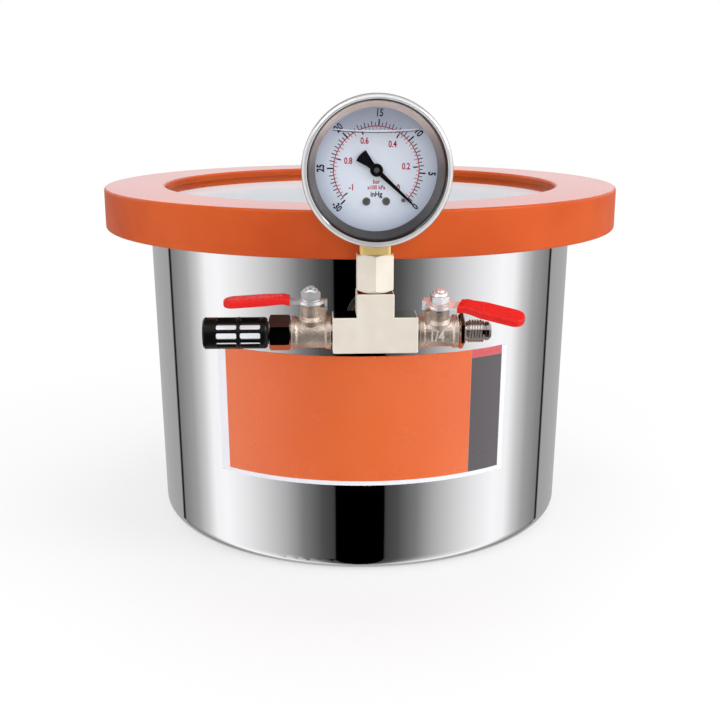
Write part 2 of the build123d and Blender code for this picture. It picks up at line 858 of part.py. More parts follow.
def bourdon_solid(filled):
    """Flattened tube bent round the gauge's axis, from the socket to its free end."""
    start = 270 - degrees(asin((socket_width / 2 - 1.2) / bourdon_radius))
    sweep = start - bourdon_tip_angle
    section = Pos(bourdon_radius, 0, 0) * Rotation(90, 0, 0) * SlotOverall(
        bourdon_depth, bourdon_section, rotation=90)
    if not filled:
        section = section - Pos(bourdon_radius, 0, 0) * Rotation(90, 0, 0) * SlotOverall(
            bourdon_depth - 2 * bourdon_wall, bourdon_section - 2 * bourdon_wall, rotation=90)
    return Rotation(0, 0, bourdon_tip_angle) * revolve(section, Axis.Z, sweep)


def gauge_socket():
    """Brass stem: thread, square for the spanner, and the block inside the case that holds the movement."""
    lift = gauge_height
    neck_top = gauge_height - case_radius + case_wall + 0.6
    thread = rod(male_radius, socket_low - port_depth + 0.5, socket_low)
    square = Pos(0, 0, (socket_low + neck_top) / 2) * Box(
        gauge_square, gauge_square, neck_top - socket_low)
    square = chamfer(square.edges().filter_by(Axis.Z), 1.0)
    block_high = lift + socket_top
    block = Pos(0, 0, (neck_top + block_high) / 2) * Box(
        socket_width, 2 * movement_half_gap, block_high - neck_top)
    bore = rod(passage_radius - 1.5, socket_low - port_depth, lift - bourdon_radius)
    piece = Pos(0, -manifold_reach, 0) * (thread + square + block - bore)
    return piece - gauge_place * bourdon_solid(filled=True)


def gauge_case():
    """Deep-drawn case with a front flange, cut open for the stem and the filler plug."""
    can = lathe(
        (0, -gauge_back),
        (case_radius - case_round, -gauge_back),
        (case_radius - case_round * 0.3, -gauge_back + case_round * 0.3),
        (case_radius, -gauge_back + case_round),
        (case_radius, case_front - case_flange_thickness),
        (case_radius + case_flange, case_front - case_flange_thickness),
        (case_radius + case_flange, case_front),
        (case_radius - case_wall, case_front),
        (case_radius - case_wall, -gauge_back + case_round),
        (case_radius - case_round, -gauge_back + case_wall),
        (0, -gauge_back + case_wall),
    )
    side = gauge_square + 0.2
    stem_hole = Pos(0, -case_radius, 0) * Box(side, case_radius, side)
    plug_hole = Pos(0, case_radius, 0) * Rotation(-90, 0, 0) * rod(
        plug_neck_radius + thread_gap, -case_radius / 2, case_radius / 2)
    return gauge_place * (can - stem_hole - plug_hole)


def filler_plug():
    """Rubber plug in the top of the case."""
    stem = Rotation(-90, 0, 0) * rod(plug_neck_radius, case_radius - case_wall - 1.0, case_radius + plug_height)
    head = Rotation(-90, 0, 0) * rod(plug_radius, case_radius - case_wall, case_radius + plug_height)
    return gauge_place * (stem + (head - rod(case_radius, -gauge_back, case_front)))


def gauge_bezel():
    """Bezel rolled over the case flange, the seal and the window."""
    inner = case_radius + case_flange + bezel_gap
    back = case_front - case_flange_thickness - bezel_wall
    front = window_front + bezel_wall + 0.8
    opening = bezel_radius - bezel_lip_width - bezel_wall
    ring = lathe(
        (case_radius + bezel_gap, back),
        (bezel_radius, back),
        (bezel_radius, front),
        (opening + bezel_inner_chamfer, front),
        (opening, front - bezel_inner_chamfer),
        (opening, window_front),
        (inner, window_front),
        (inner, case_front - case_flange_thickness),
        (case_radius + bezel_gap, case_front - case_flange_thickness),
    )
    outer = ring.edges().filter_by(GeomType.CIRCLE).filter_by(lambda e: abs(e.radius - bezel_radius) < 0.01)
    ring = fillet(outer.sort_by(Axis.Z)[-1], bezel_round)
    return gauge_place * ring


def gauge_window():
    """Flat window held by the bezel."""
    return gauge_place * rod(case_radius + case_flange, window_back, window_front)


def window_seal():
    """Rubber ring between the case flange and the window."""
    return gauge_place * tube(case_radius + case_flange, case_radius - case_wall, case_front, window_back)


def dial_ring():
    """Sloped ring between the dial and the window."""
    outer = case_radius - case_wall - dial_ring_gap
    return gauge_place * lathe(
        (outer, dial_front),
        (outer, window_back),
        (outer - dial_ring_top_wall, window_back),
        (dial_ring_foot, dial_front + dial_ring_foot_height),
        (dial_ring_foot, dial_front),
    )


def gauge_dial():
    """Dial plate."""
    plate = rod(case_radius - case_wall - dial_gap, dial_front - dial_thickness, dial_front)
    centre_hole = rod(arbor_radius + 0.5, dial_front - dial_thickness, dial_front)
    pin_hole = Pos(*stop_pin_place()) * rod(stop_pin_radius, dial_front - dial_thickness, dial_front)
    plate = plate - centre_hole - pin_hole
    for side in (-1, 1):
        plate = plate - Pos(side * dial_screw_spread, -dial_screw_drop, 0) * rod(
            dial_screw_shank, 0, dial_front)
    return gauge_place * plate


def dial_screws():
    """Two slotted screws that hold the dial to the movement."""
    pieces = []
    for side, slot_turn in ((-1, 35), (1, -20)):
        shank = rod(dial_screw_shank - 0.02, movement_half_gap, dial_front)
        head = rod(dial_screw_radius, dial_front, dial_front + dial_screw_head)
        head = chamfer(head.edges().group_by(Axis.Z)[-1], 0.3)
        slot = Pos(0, 0, dial_front + dial_screw_head) * Rotation(0, 0, slot_turn) * Box(
            dial_screw_radius * 2, dial_screw_slot, dial_screw_slot * 1.6)
        pieces.append(Pos(side * dial_screw_spread, -dial_screw_drop, 0) * (shank + head - slot))
    return gauge_place * Compound(children=pieces)


def stop_pin_place():
    """Where the pin stands that the pointer rests on at zero."""
    taper = (pointer_root_width - pointer_tip_width) * stop_pin_orbit / pointer_length
    reach = stop_pin_radius + stop_pin_gap + (pointer_root_width - taper) / 2
    angle = radians(pointer_zero_angle) - asin(reach / stop_pin_orbit)
    return stop_pin_orbit * cos(angle), stop_pin_orbit * sin(angle), 0


def pointer_stop_pin():
    """Pin in the dial."""
    return gauge_place * Pos(*stop_pin_place()) * rod(
        stop_pin_radius - 0.01, dial_front - dial_thickness, dial_front + stop_pin_height)


# ---------------------------------------------------------------- pointer and movement


def gauge_pointer():
    """Pointer at zero: tapered needle, fan-shaped tail and hub."""
    low = dial_front + pointer_lift
    half = radians(pointer_tail_half_angle)
    tail = pointer_tail_length
    neck = pointer_root_width / 2
    tail_top = (-tail * cos(half), tail * sin(half))
    tail_low = (-tail * cos(half), -tail * sin(half))
    needle = make_face(Polyline(
        (0, neck),
        (pointer_length, pointer_tip_width / 2),
        (pointer_length, -pointer_tip_width / 2),
        (0, -neck),
        close=True,
    ))
    waist = (-pointer_hub_radius - pointer_tail_neck * 0.35, pointer_tail_neck / 2)
    waist_low = (waist[0], -waist[1])
    fan = make_face([
        Line((0, neck), (0, -neck)),
        Line((0, -neck), waist_low),
        Line(waist_low, tail_low),
        ThreePointArc(tail_low, (-tail, 0), tail_top),
        Line(tail_top, waist),
        Line(waist, (0, neck)),
    ])
    blade = extrude(needle + fan, pointer_thickness)
    hub = lathe(
        (0, 0),
        (pointer_hub_radius, 0),
        (pointer_hub_radius, pointer_hub_height - 0.4),
        (pointer_hub_radius - 0.4, pointer_hub_height),
        (0, pointer_hub_height),
    )
    piece = Pos(0, 0, low) * (blade + hub) - rod(arbor_radius, 0, window_back)
    return gauge_place * Rotation(0, 0, pointer_zero_angle) * piece


def gear_teeth(teeth, first, count):
    """Faces of involute teeth about the origin, numbered from the +X direction, slimmed for backlash."""
    pitch = gear_module * teeth / 2
    base = pitch * cos(radians(pressure_angle))
    tip = pitch + gear_module * tooth_addendum
    root = pitch - gear_module * tooth_dedendum

    def involute(radius):
        alpha = acos(min(1, base / radius))
        return tan(alpha) - alpha

    half_pitch_angle = pi / teeth * 2 * tooth_share / 2
    start = max(base, root)
    steps = 5
    flank = []
    for step in range(steps + 1):
        radius = start + (tip - start) * step / steps
        angle = half_pitch_angle + involute(pitch) - involute(radius)
        flank.append((radius * cos(angle), radius * sin(angle)))
    foot_angle = half_pitch_angle + involute(pitch)
    inner = root - gear_module * 0.3
    foot = (inner * cos(foot_angle), inner * sin(foot_angle))
    upper = [foot] + flank
    lower = [(x, -y) for x, y in reversed(upper)]
    tooth = make_face(Polyline(*[(x, y, 0) for x, y in upper + lower], close=True))
    return [Rotation(0, 0, 360 / teeth * (first + n)) * tooth for n in range(count)], root


def pointer_arbor():
    """Arbor with the pinion cut on it."""
    hub_top = dial_front + pointer_lift + pointer_hub_height
    shaft = rod(arbor_radius - 0.01, -movement_half_gap - plate_thickness, hub_top)
    shaft = shaft + rod(arbor_head_radius, hub_top, hub_top + arbor_head_height)
    teeth, root = gear_teeth(pinion_teeth, 0, pinion_teeth)
    low = -pinion_thickness / 2
    blank = rod(root, low, low + pinion_thickness)
    mesh_turn = 270
    pinion = Rotation(0, 0, mesh_turn + 180 / pinion_teeth) * (
        blank + Pos(0, 0, low) * [extrude(tooth, pinion_thickness) for tooth in teeth][0])
    for tooth in teeth[1:]:
        pinion = pinion + Rotation(0, 0, mesh_turn + 180 / pinion_teeth) * Pos(0, 0, low) * extrude(
            tooth, pinion_thickness)
    return gauge_place * (shaft + pinion)


def sector_gear():
    """Toothed sector on its own arbor, with a tail for the link; drawn at the zero end of its swing."""
    rest = 90 + sector_swing / 2
    span = sector_swing + 2 * sector_margin
    count = int(span / (360 / sector_teeth)) | 1
    first = -(count // 2)
    rest_tooth = round((rest - 90) / (360 / sector_teeth))
    phase = 90 + rest_tooth * 360 / sector_teeth
    teeth, root = gear_teeth(sector_teeth, first, count)
    low = -gear_thickness / 2
    rim_span = count * 360 / sector_teeth
    rim_inner = root - sector_rim_width
    wedge = make_face([
        Line((0, 0), (2 * root * cos(radians(rim_span / 2)), -2 * root * sin(radians(rim_span / 2)))),
        Line((2 * root * cos(radians(rim_span / 2)), -2 * root * sin(radians(rim_span / 2))),
             (2 * root * cos(radians(rim_span / 2)), 2 * root * sin(radians(rim_span / 2)))),
        Line((2 * root * cos(radians(rim_span / 2)), 2 * root * sin(radians(rim_span / 2))), (0, 0)),
    ])
    rim = (Circle(root) - Circle(rim_inner)) & wedge
    flat = rim
    for tooth in teeth:
        flat = flat + tooth
    spoke_reach = rim_span / 2 - sector_spoke_inset
    for spoke_angle in (-spoke_reach, 0, spoke_reach):
        flat = flat + Rotation(0, 0, spoke_angle) * Pos(root / 2, 0) * Rectangle(
            root - 0.4, sector_web_width)
    flat = flat + Circle(sector_hub_radius)
    plate = Rotation(0, 0, phase) * Pos(0, 0, low) * extrude(flat, gear_thickness)
    tail_end = (tail_radius * cos(radians(tail_angle)), tail_radius * sin(radians(tail_angle)), 0)
    tail = Pos(0, 0, low) * bar_between((0, 0, 0), tail_end, tail_width, gear_thickness)
    pin = Pos(*tail_end) * rod(link_pin_radius, low - link_gap - link_thickness - 0.1, low)
    arbor = rod(arbor_radius, -movement_half_gap - plate_thickness, movement_half_gap + plate_thickness)
    return gauge_place * Pos(0, -sector_drop, 0) * (plate + tail + pin + arbor)


def tail_pin_place():
    """The link's pin on the sector's tail, in the gauge's plane."""
    angle = radians(tail_angle)
    return tail_radius * cos(angle), tail_radius * sin(angle) - sector_drop, 0


def tip_pin_place():
    """The link's eye at the free end of the bourdon tube, in the gauge's plane."""
    angle = radians(bourdon_tip_angle)
    reach = bourdon_radius - bourdon_section - 0.6
    return reach * cos(angle), reach * sin(angle), 0


def movement_link():
    """Flat link from the sector's tail towards the tube's free end."""
    high = -gear_thickness / 2 - link_gap
    bar = Pos(0, 0, high - link_thickness) * bar_between(
        tail_pin_place(), tip_pin_place(), link_width, link_thickness)
    eye = Pos(*tail_pin_place()) * rod(link_pin_radius + arbor_gap, -movement_half_gap, 0)
    far_eye = Pos(*tip_pin_place()) * rod(link_pin_radius + arbor_gap, -movement_half_gap, 0)
    return gauge_place * (bar - eye - far_eye)


def bourdon_tip():
    """Brass end that closes the tube, with a lug under the link."""
    length = bourdon_tip_length
    end_face = Rotation(0, 0, bourdon_tip_angle) * Pos(bourdon_radius, -length / 2, 0)
    block = end_face * Box(bourdon_section, length, bourdon_depth)
    lug_high = -gear_thickness / 2 - 2 * link_gap - link_thickness
    lug_place = Rotation(0, 0, bourdon_tip_angle) * Pos(bourdon_radius - bourdon_section, -length / 2, 0)
    lug = lug_place * Pos(0, 0, lug_high - 0.5) * Box(bourdon_section + 0.5, length, 1.0)
    return gauge_place * (block + lug)


def movement_plate(low):
    """Plate with bearings for both arbors."""
    height = plate_top - plate_bottom
    plate = Pos(0, (plate_top + plate_bottom) / 2, low) * extrude(
        RectangleRounded(plate_width, height, 2.0), plate_thickness)
    bearing = rod(arbor_radius + arbor_gap, low, low + plate_thickness)
    return plate - bearing - Pos(0, -sector_drop, 0) * bearing


def movement_parts():
    """Two plates, and the two pillars that space them."""
    front = movement_plate(movement_half_gap)
    for side in (-1, 1):
        front = front - Pos(side * dial_screw_spread, -dial_screw_drop, 0) * rod(
            dial_screw_shank, 0, dial_front)
    back = movement_plate(-movement_half_gap - plate_thickness)
    pillars = [
        Pos(side * pillar_spread, pillar_height, 0) * rod(pillar_radius, -movement_half_gap, movement_half_gap)
        for side in (-1, 1)
    ]
    return {
        "movement_front_plate": gauge_place * front,
        "movement_back_plate": gauge_place * back,
        "movement_pillars": gauge_place * Compound(children=pillars),
    }


# ---------------------------------------------------------------- assembly

pieces = {
    "chamber_pot": chamber_pot(),
    "lid_gasket": lid_gasket(),
    "glass_lid": glass_lid(),
    "front_label": front_label(),
    **bulkhead_parts(),
    "manifold_block": manifold_block(),
    "left_nipple": nipple(-1),
    "right_nipple": nipple(1),
    **valve_parts(-1, "left", left_valve_lean, left_lever_turn),
    **valve_parts(1, "right", right_valve_lean, right_lever_turn),
    "filter_adapter": filter_adapter(),
    **filter_parts(),
    "flare_fitting": flare_fitting(),
    "gauge_adapter": gauge_adapter(),
    "gauge_socket": gauge_socket(),
    "gauge_case": gauge_case(),
    "filler_plug": filler_plug(),
    "gauge_bezel": gauge_bezel(),
    "gauge_window": gauge_window(),
    "window_seal": window_seal(),
    "dial_ring": dial_ring(),
    "gauge_dial": gauge_dial(),
    "dial_screws": dial_screws(),
    "pointer_stop_pin": pointer_stop_pin(),
    "gauge_pointer": gauge_pointer(),
    "pointer_arbor": pointer_arbor(),
    "bourdon_tube": gauge_place * bourdon_solid(filled=False),
    "bourdon_tip": bourdon_tip(),
    "sector_gear": sector_gear(),
    "movement_link": movement_link(),
    **movement_parts(),
}

for name, piece in pieces.items():
    export_step(piece, f"parts/{name}.step")
print(len(pieces), "parts, gauge centre at", round(gauge_height, 2))
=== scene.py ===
# %% [markdown]
# # A vacuum chamber, dressed on its CAD frame
# The steel pot, the silicone ring, the valves and the gauge come from the CAD model, already in place.
# This notebook adds what makes them look real: finishes, threads, the printed dial and the liquid in the
# gauge. The first cell loads the frame.

# %% Load the frame
import json
from math import cos, pi, radians, sin

import bmesh
import bpy
from mathutils import Matrix, Vector


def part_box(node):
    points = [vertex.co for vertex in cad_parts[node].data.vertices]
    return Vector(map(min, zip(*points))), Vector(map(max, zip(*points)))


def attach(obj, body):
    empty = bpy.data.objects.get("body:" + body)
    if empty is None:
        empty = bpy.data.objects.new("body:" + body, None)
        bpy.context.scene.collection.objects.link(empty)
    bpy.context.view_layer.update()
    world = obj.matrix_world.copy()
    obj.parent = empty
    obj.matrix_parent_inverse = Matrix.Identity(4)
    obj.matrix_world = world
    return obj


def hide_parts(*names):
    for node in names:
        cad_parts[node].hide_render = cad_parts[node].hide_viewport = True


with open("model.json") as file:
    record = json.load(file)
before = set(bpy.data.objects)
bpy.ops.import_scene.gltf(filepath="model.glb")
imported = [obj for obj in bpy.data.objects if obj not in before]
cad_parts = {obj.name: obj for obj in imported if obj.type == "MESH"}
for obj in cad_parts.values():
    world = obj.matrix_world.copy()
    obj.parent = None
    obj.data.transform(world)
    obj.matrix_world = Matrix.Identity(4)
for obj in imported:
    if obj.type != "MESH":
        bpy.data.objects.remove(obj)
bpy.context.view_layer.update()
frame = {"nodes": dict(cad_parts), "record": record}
MM = 0.001

# %% [markdown]
# ## The camera
# A slightly long lens, looking down a little from the front, shows the dial square on and the pot's
# full width. A short lens from nearer would bow the ring, so the camera stands back and the lens is 54 mm.

# %% Camera
camera_distance, camera_height = 0.6616, 0.257
camera_azimuth, camera_pitch = -2.4, 14.416
camera = bpy.data.objects.new("camera", bpy.data.cameras.new("camera"))
bpy.context.scene.collection.objects.link(camera)
camera.data.lens = 53.675
camera.data.sensor_width = 36
camera.data.clip_start, camera.data.clip_end = 0.01, 50
camera.location = (
    camera_distance * sin(radians(camera_azimuth)),
    -camera_distance * cos(radians(camera_azimuth)),
    camera_height,
)
camera.rotation_euler = (radians(90 - camera_pitch), 0, radians(camera_azimuth))
bpy.context.scene.camera = camera
bpy.context.scene.view_settings.view_transform = "Standard"

# %% [markdown]
# ## Building shaders in a few words
# Every finish is a small node tree. The helpers below keep the cells short: some add a node and join it
# to what feeds it, some read the piece's own coordinates, and one starts a material with a Principled
# shader. Each takes numbers or other nodes' outputs, so that a pattern reads like a sum.


# %% Shader helpers
def add(tree, kind, **settings):
    """Add a node; settings name its properties, or its sockets with spaces written as underscores."""
    node = tree.nodes.new(kind)
    for name, value in settings.items():
        if hasattr(node, name):
            setattr(node, name, value)
        else:
            socket(node, name.replace("_", " ")).default_value = value
    return node


def socket(node, name):
    """The node's visible input of that name; a Mix node has one for each kind of data."""
    return next(entry for entry in node.inputs if entry.name == name and entry.enabled)


def wire(tree, source, target):
    """Join an output to an input."""
    tree.links.new(source, target)


def feed(tree, value, entry):
    """Set an input to a number, or join an output to it."""
    if isinstance(value, (int, float)):
        entry.default_value = value
    else:
        wire(tree, value, entry)


def maths(tree, operation, *values):
    """A Math node on outputs or numbers."""
    node = add(tree, "ShaderNodeMath", operation=operation)
    for entry, value in zip(node.inputs, values):
        feed(tree, value, entry)
    return node.outputs[0]


def ranged(tree, value, start, stop, low=0.0, high=1.0, blend="LINEAR"):
    """Turn the range start to stop of a value into low to high."""
    node = add(tree, "ShaderNodeMapRange", interpolation_type=blend)
    limits = {"From Min": start, "From Max": stop, "To Min": low, "To Max": high, "Value": value}
    for name, limit in limits.items():
        feed(tree, limit, node.inputs[name])
    return node.outputs["Result"]


def mixed(tree, share, under, over):
    """Mix one colour over another; each is an output or three numbers."""
    node = add(tree, "ShaderNodeMix", data_type="RGBA")
    wire(tree, share, socket(node, "Factor"))
    for name, colour in (("A", under), ("B", over)):
        if isinstance(colour, tuple):
            socket(node, name).default_value = (*colour, 1)
        else:
            wire(tree, colour, socket(node, name))
    return next(out for out in node.outputs if out.enabled)


def toned(tree, value, *stops):
    """Colour that changes with a value, through (position, colour) stops in order."""
    node = add(tree, "ShaderNodeValToRGB")
    ends = node.color_ramp.elements
    for end, (position, colour) in ((ends[0], stops[0]), (ends[1], stops[-1])):
        end.position, end.color = position, (*colour, 1)
    for position, colour in stops[1:-1]:
        ends.new(position).color = (*colour, 1)
    wire(tree, value, node.inputs["Fac"])
    return node.outputs["Color"]


def own_parts(tree):
    """The piece's own X, Y and Z, as outputs."""
    parts = add(tree, "ShaderNodeSeparateXYZ")
    wire(tree, add(tree, "ShaderNodeTexCoord").outputs["Object"], parts.inputs["Vector"])
    return parts.outputs


def reach_from(tree, middle=(0, 0, 0), axes=(1, 1, 1)):
    """Distance from a point in the piece's own coordinates, along the axes that are 1."""
    away = add(tree, "ShaderNodeVectorMath", operation="SUBTRACT")
    away.inputs[1].default_value = middle
    counted = add(tree, "ShaderNodeVectorMath", operation="MULTIPLY")
    counted.inputs[1].default_value = axes
    length = add(tree, "ShaderNodeVectorMath", operation="LENGTH")
    wire(tree, add(tree, "ShaderNodeTexCoord").outputs["Object"], away.inputs[0])
    wire(tree, away.outputs[0], counted.inputs[0])
    wire(tree, counted.outputs[0], length.inputs[0])
    return length.outputs["Value"]


def new_finish(name, colour, metallic=0.0, roughness=0.4, **sockets):
    """A material with a Principled shader; returns the material, its tree and the shader."""
    material = bpy.data.materials.new(name)
    material.use_nodes = True
    tree = material.node_tree
    shader = tree.nodes["Principled BSDF"]
    shader.inputs["Base Color"].default_value = (*colour, 1)
    shader.inputs["Metallic"].default_value = metallic
    shader.inputs["Roughness"].default_value = roughness
    for name_of_socket, value in sockets.items():
        shader.inputs[name_of_socket.replace("_", " ")].default_value = value
    return material, tree, shader


def object_noise(tree, scale, detail=3.0, stretch=(1, 1, 1), roughness=0.5):
    """Noise in the piece's own coordinates; scale is features per metre."""
    place = add(tree, "ShaderNodeTexCoord")
    mapping = add(tree, "ShaderNodeMapping")
    mapping.inputs["Scale"].default_value = stretch
    noise = add(tree, "ShaderNodeTexNoise", Scale=scale, Detail=detail, Roughness=roughness)
    wire(tree, place.outputs["Object"], mapping.inputs["Vector"])
    wire(tree, mapping.outputs["Vector"], noise.inputs["Vector"])
    return noise.outputs["Fac"]


def vary_roughness(tree, shader, fac, low, high):
    """Let the roughness wander between two values."""
    wire(tree, ranged(tree, fac, 0.3, 0.7, low, high), shader.inputs["Roughness"])


def vary_colour(tree, shader, fac, dark, light):
    """Let the colour wander between two tones."""
    wire(tree, toned(tree, fac, (0.3, dark), (0.7, light)), shader.inputs["Base Color"])


def raise_bumps(tree, shader, fac, height, strength=1.0):
    """Bumps of a real height, in metres."""
    bump = add(tree, "ShaderNodeBump", Strength=strength, Distance=height)
    wire(tree, fac, bump.inputs["Height"])
    wire(tree, bump.outputs["Normal"], shader.inputs["Normal"])


def cover(material, *names):
    """Give CAD nodes a material, in every slot."""
    for name in names:
        node = frame["nodes"][name]
        node.data.materials.clear()
        node.data.materials.append(material)


# %% [markdown]
# ## Studio
# A mirror shows the room, so the pot's look is made by the light round it. The world is a soft tent:
# black behind the camera, brightening to the sides, with one thin dark seam, then a white front roof, a
# dark gap overhead and a white backdrop. Reflections alone see it. Everything else is lit by an even
# grey world and four large soft lamps. The floor is pale.

# %% World and lamps
world = bpy.data.worlds.new("light_tent")
bpy.context.scene.world = world
world.use_nodes = True
sky = world.node_tree
sky.nodes.clear()
direction = add(sky, "ShaderNodeTexCoord").outputs["Generated"]
turned = add(sky, "ShaderNodeMapping", vector_type="POINT")
turned.inputs["Rotation"].default_value = (0, 0, radians(90 - camera_azimuth))
parts = add(sky, "ShaderNodeSeparateXYZ")
wire(sky, direction, turned.inputs["Vector"])
wire(sky, turned.outputs["Vector"], parts.inputs["Vector"])
off_axis = maths(sky, "ABSOLUTE", maths(sky, "ARCTAN2", parts.outputs["Y"], parts.outputs["X"]))
tent = add(sky, "ShaderNodeValToRGB")
tent_bands = [
    (0, 0.0), (13.4, 0.0), (14.2, 0.05), (21, 0.08), (31.6, 0.2), (43, 0.45), (55, 0.66), (67, 0.84),
    (81, 1.0), (90, 0.95), (97.5, 0.62), (107, 0.36), (118, 0.25), (122.5, 0.22), (123.5, 0.01),
    (125.5, 0.01), (126.5, 0.36), (180, 0.5),
]
while len(tent.color_ramp.elements) < len(tent_bands):
    tent.color_ramp.elements.new(0.5)
for element, (angle, level) in zip(tent.color_ramp.elements, tent_bands):
    element.position = angle / 180
    element.color = (level, level, level * 1.01, 1)
wire(sky, maths(sky, "DIVIDE", off_axis, pi), tent.inputs["Fac"])
facing = add(sky, "ShaderNodeSeparateXYZ")
wire(sky, direction, facing.inputs["Vector"])
toward_back, upward = facing.outputs["Y"], facing.outputs["Z"]
front_raise = ranged(sky, toward_back, -0.05, -0.5, high=0.34, blend="SMOOTHSTEP")
roof_share = ranged(sky, maths(sky, "SUBTRACT", upward, front_raise), -0.02, 0.09, blend="SMOOTHSTEP")
overhead = ranged(sky, upward, 0.42, 0.6, blend="SMOOTHSTEP")
behind = ranged(sky, toward_back, -0.3, -0.1, blend="SMOOTHSTEP")
roofed = mixed(sky, roof_share, tent.outputs["Color"], (0.95, 0.98, 1.04))
room = mixed(sky, maths(sky, "MULTIPLY", overhead, behind), roofed, (0.1, 0.05, 0.045))
seen = add(sky, "ShaderNodeLightPath")
reflected = add(sky, "ShaderNodeBackground", Strength=1.0)
fill = add(sky, "ShaderNodeBackground", Color=(0.93, 0.95, 1.0, 1), Strength=0.55)
white = add(sky, "ShaderNodeBackground", Color=(1, 1, 1, 1), Strength=1.0)
glossy_or_fill = add(sky, "ShaderNodeMixShader")
camera_or_rest = add(sky, "ShaderNodeMixShader")
output = add(sky, "ShaderNodeOutputWorld")
wire(sky, room, reflected.inputs["Color"])
wire(sky, seen.outputs["Is Glossy Ray"], glossy_or_fill.inputs["Fac"])
wire(sky, fill.outputs[0], glossy_or_fill.inputs[1])
wire(sky, reflected.outputs[0], glossy_or_fill.inputs[2])
wire(sky, seen.outputs["Is Camera Ray"], camera_or_rest.inputs["Fac"])
wire(sky, glossy_or_fill.outputs[0], camera_or_rest.inputs[1])
wire(sky, white.outputs[0], camera_or_rest.inputs[2])
wire(sky, camera_or_rest.outputs[0], output.inputs["Surface"])


def soft_lamp(name, place, aim, size, watts, mirrored=True):
    """A square area lamp, aimed at a point; reflections may leave it out."""
    lamp = bpy.data.lights.new(name, "AREA")
    lamp.shape = "SQUARE"
    lamp.size = size
    lamp.energy = watts
    holder = bpy.data.objects.new(name, lamp)
    bpy.context.scene.collection.objects.link(holder)
    holder.location = place
    holder.rotation_euler = (Vector(aim) - Vector(place)).to_track_quat("-Z", "Y").to_euler()
    holder.visible_glossy = mirrored
    return holder


soft_lamp("key_light", (-0.9, -1.0, 1.3), (0, -0.1, 0.12), 0.9, 6)
soft_lamp("side_light", (1.2, -0.7, 0.9), (0, -0.1, 0.12), 0.8, 10)
soft_lamp("top_light", (0.0, 0.3, 1.5), (0, 0, 0.15), 1.2, 9, mirrored=False)
soft_lamp("front_fill", (0.1, -1.7, 0.45), (0, -0.1, 0.15), 0.7, 4.5, mirrored=False)

# %% [markdown]
# ## Floor
# The floor is pale paper that fades to plain white away from the object, so no horizon shows. The fade
# acts on what the camera sees. The paper under the object keeps the shadow.

# %% Floor
floor_mesh = bpy.data.meshes.new("floor")
floor_mesh.from_pydata([(-4, -4, 0), (4, -4, 0), (4, 4, 0), (-4, 4, 0)], [], [(0, 1, 2, 3)])
floor = bpy.data.objects.new("floor", floor_mesh)
bpy.context.scene.collection.objects.link(floor)
floor.visible_glossy = False
floor_finish, floor_tree, floor_shader = new_finish("floor_paper", (0.9, 0.9, 0.9), roughness=0.9)
floor_tree.nodes.remove(floor_shader)
paper = add(floor_tree, "ShaderNodeBsdfDiffuse", Color=(0.92, 0.92, 0.92, 1))
glow = add(floor_tree, "ShaderNodeEmission", Color=(1, 1, 1, 1), Strength=1.0)
floor_seen = add(floor_tree, "ShaderNodeLightPath")
floor_fade = ranged(floor_tree, reach_from(floor_tree), 0.16, 0.4, 0.55, 1.0)
glow_share = maths(floor_tree, "MULTIPLY", floor_seen.outputs["Is Camera Ray"], floor_fade)
floor_mix = add(floor_tree, "ShaderNodeMixShader")
wire(floor_tree, glow_share, floor_mix.inputs["Fac"])
wire(floor_tree, paper.outputs[0], floor_mix.inputs[1])
wire(floor_tree, glow.outputs[0], floor_mix.inputs[2])
wire(floor_tree, floor_mix.outputs[0], floor_tree.nodes["Material Output"].inputs["Surface"])
floor_mesh.materials.append(floor_finish)

# %% [markdown]
# ## Metals
# Polished steel, plated brass and cast brass share one shader and differ in what breaks up their shine.
# Polishing leaves nearly nothing, turning leaves fine rings, and blasting leaves a grain of pits.

# %% Polished steel pot
pot_steel, tree, shader = new_finish("polished_pot_steel", (0.93, 0.93, 0.935), 1.0, 0.03)
streaks = object_noise(tree, 26, 4, stretch=(1, 1, 7))
vary_roughness(tree, shader, streaks, 0.015, 0.05)
raise_bumps(tree, shader, object_noise(tree, 60, 2, stretch=(1, 1, 5)), 0.00002, 0.25)
# The rounded edge at the bottom is matt up to 4.5 mm. The pot's floor inside it stays polished.
near_bottom = ranged(tree, own_parts(tree)["Z"], 4.5 * MM, 2 * MM)
near_wall = ranged(tree, reach_from(tree), 112 * MM, 116 * MM)
polish = shader.inputs["Roughness"].links[0].from_socket
matt_edge = ranged(tree, maths(tree, "MULTIPLY", near_bottom, near_wall), 0, 1, polish, 0.45)
wire(tree, matt_edge, shader.inputs["Roughness"])
cover(pot_steel, "chamber_pot")

# %% [markdown]
# ## Plated, cast and machined metal
# One function makes the rest of the metals. Each gets a dark and a light tone, a range of roughness, and
# a grain with its own scale and height, so that a casting looks pitted and a turned face looks drawn.


# %% Plated and plain metals
def metal_finish(name, dark, light, rough, grain_scale, grain_height, stretch=(1, 1, 1), metallic=1.0):
    """Metal whose tone, shine and surface all wander a little."""
    material, tree, shader = new_finish(name, light, metallic, rough[1])
    vary_colour(tree, shader, object_noise(tree, 90, 4), dark, light)
    vary_roughness(tree, shader, object_noise(tree, 240, 3), *rough)
    raise_bumps(tree, shader, object_noise(tree, grain_scale, 4, stretch), grain_height, 0.8)
    return material


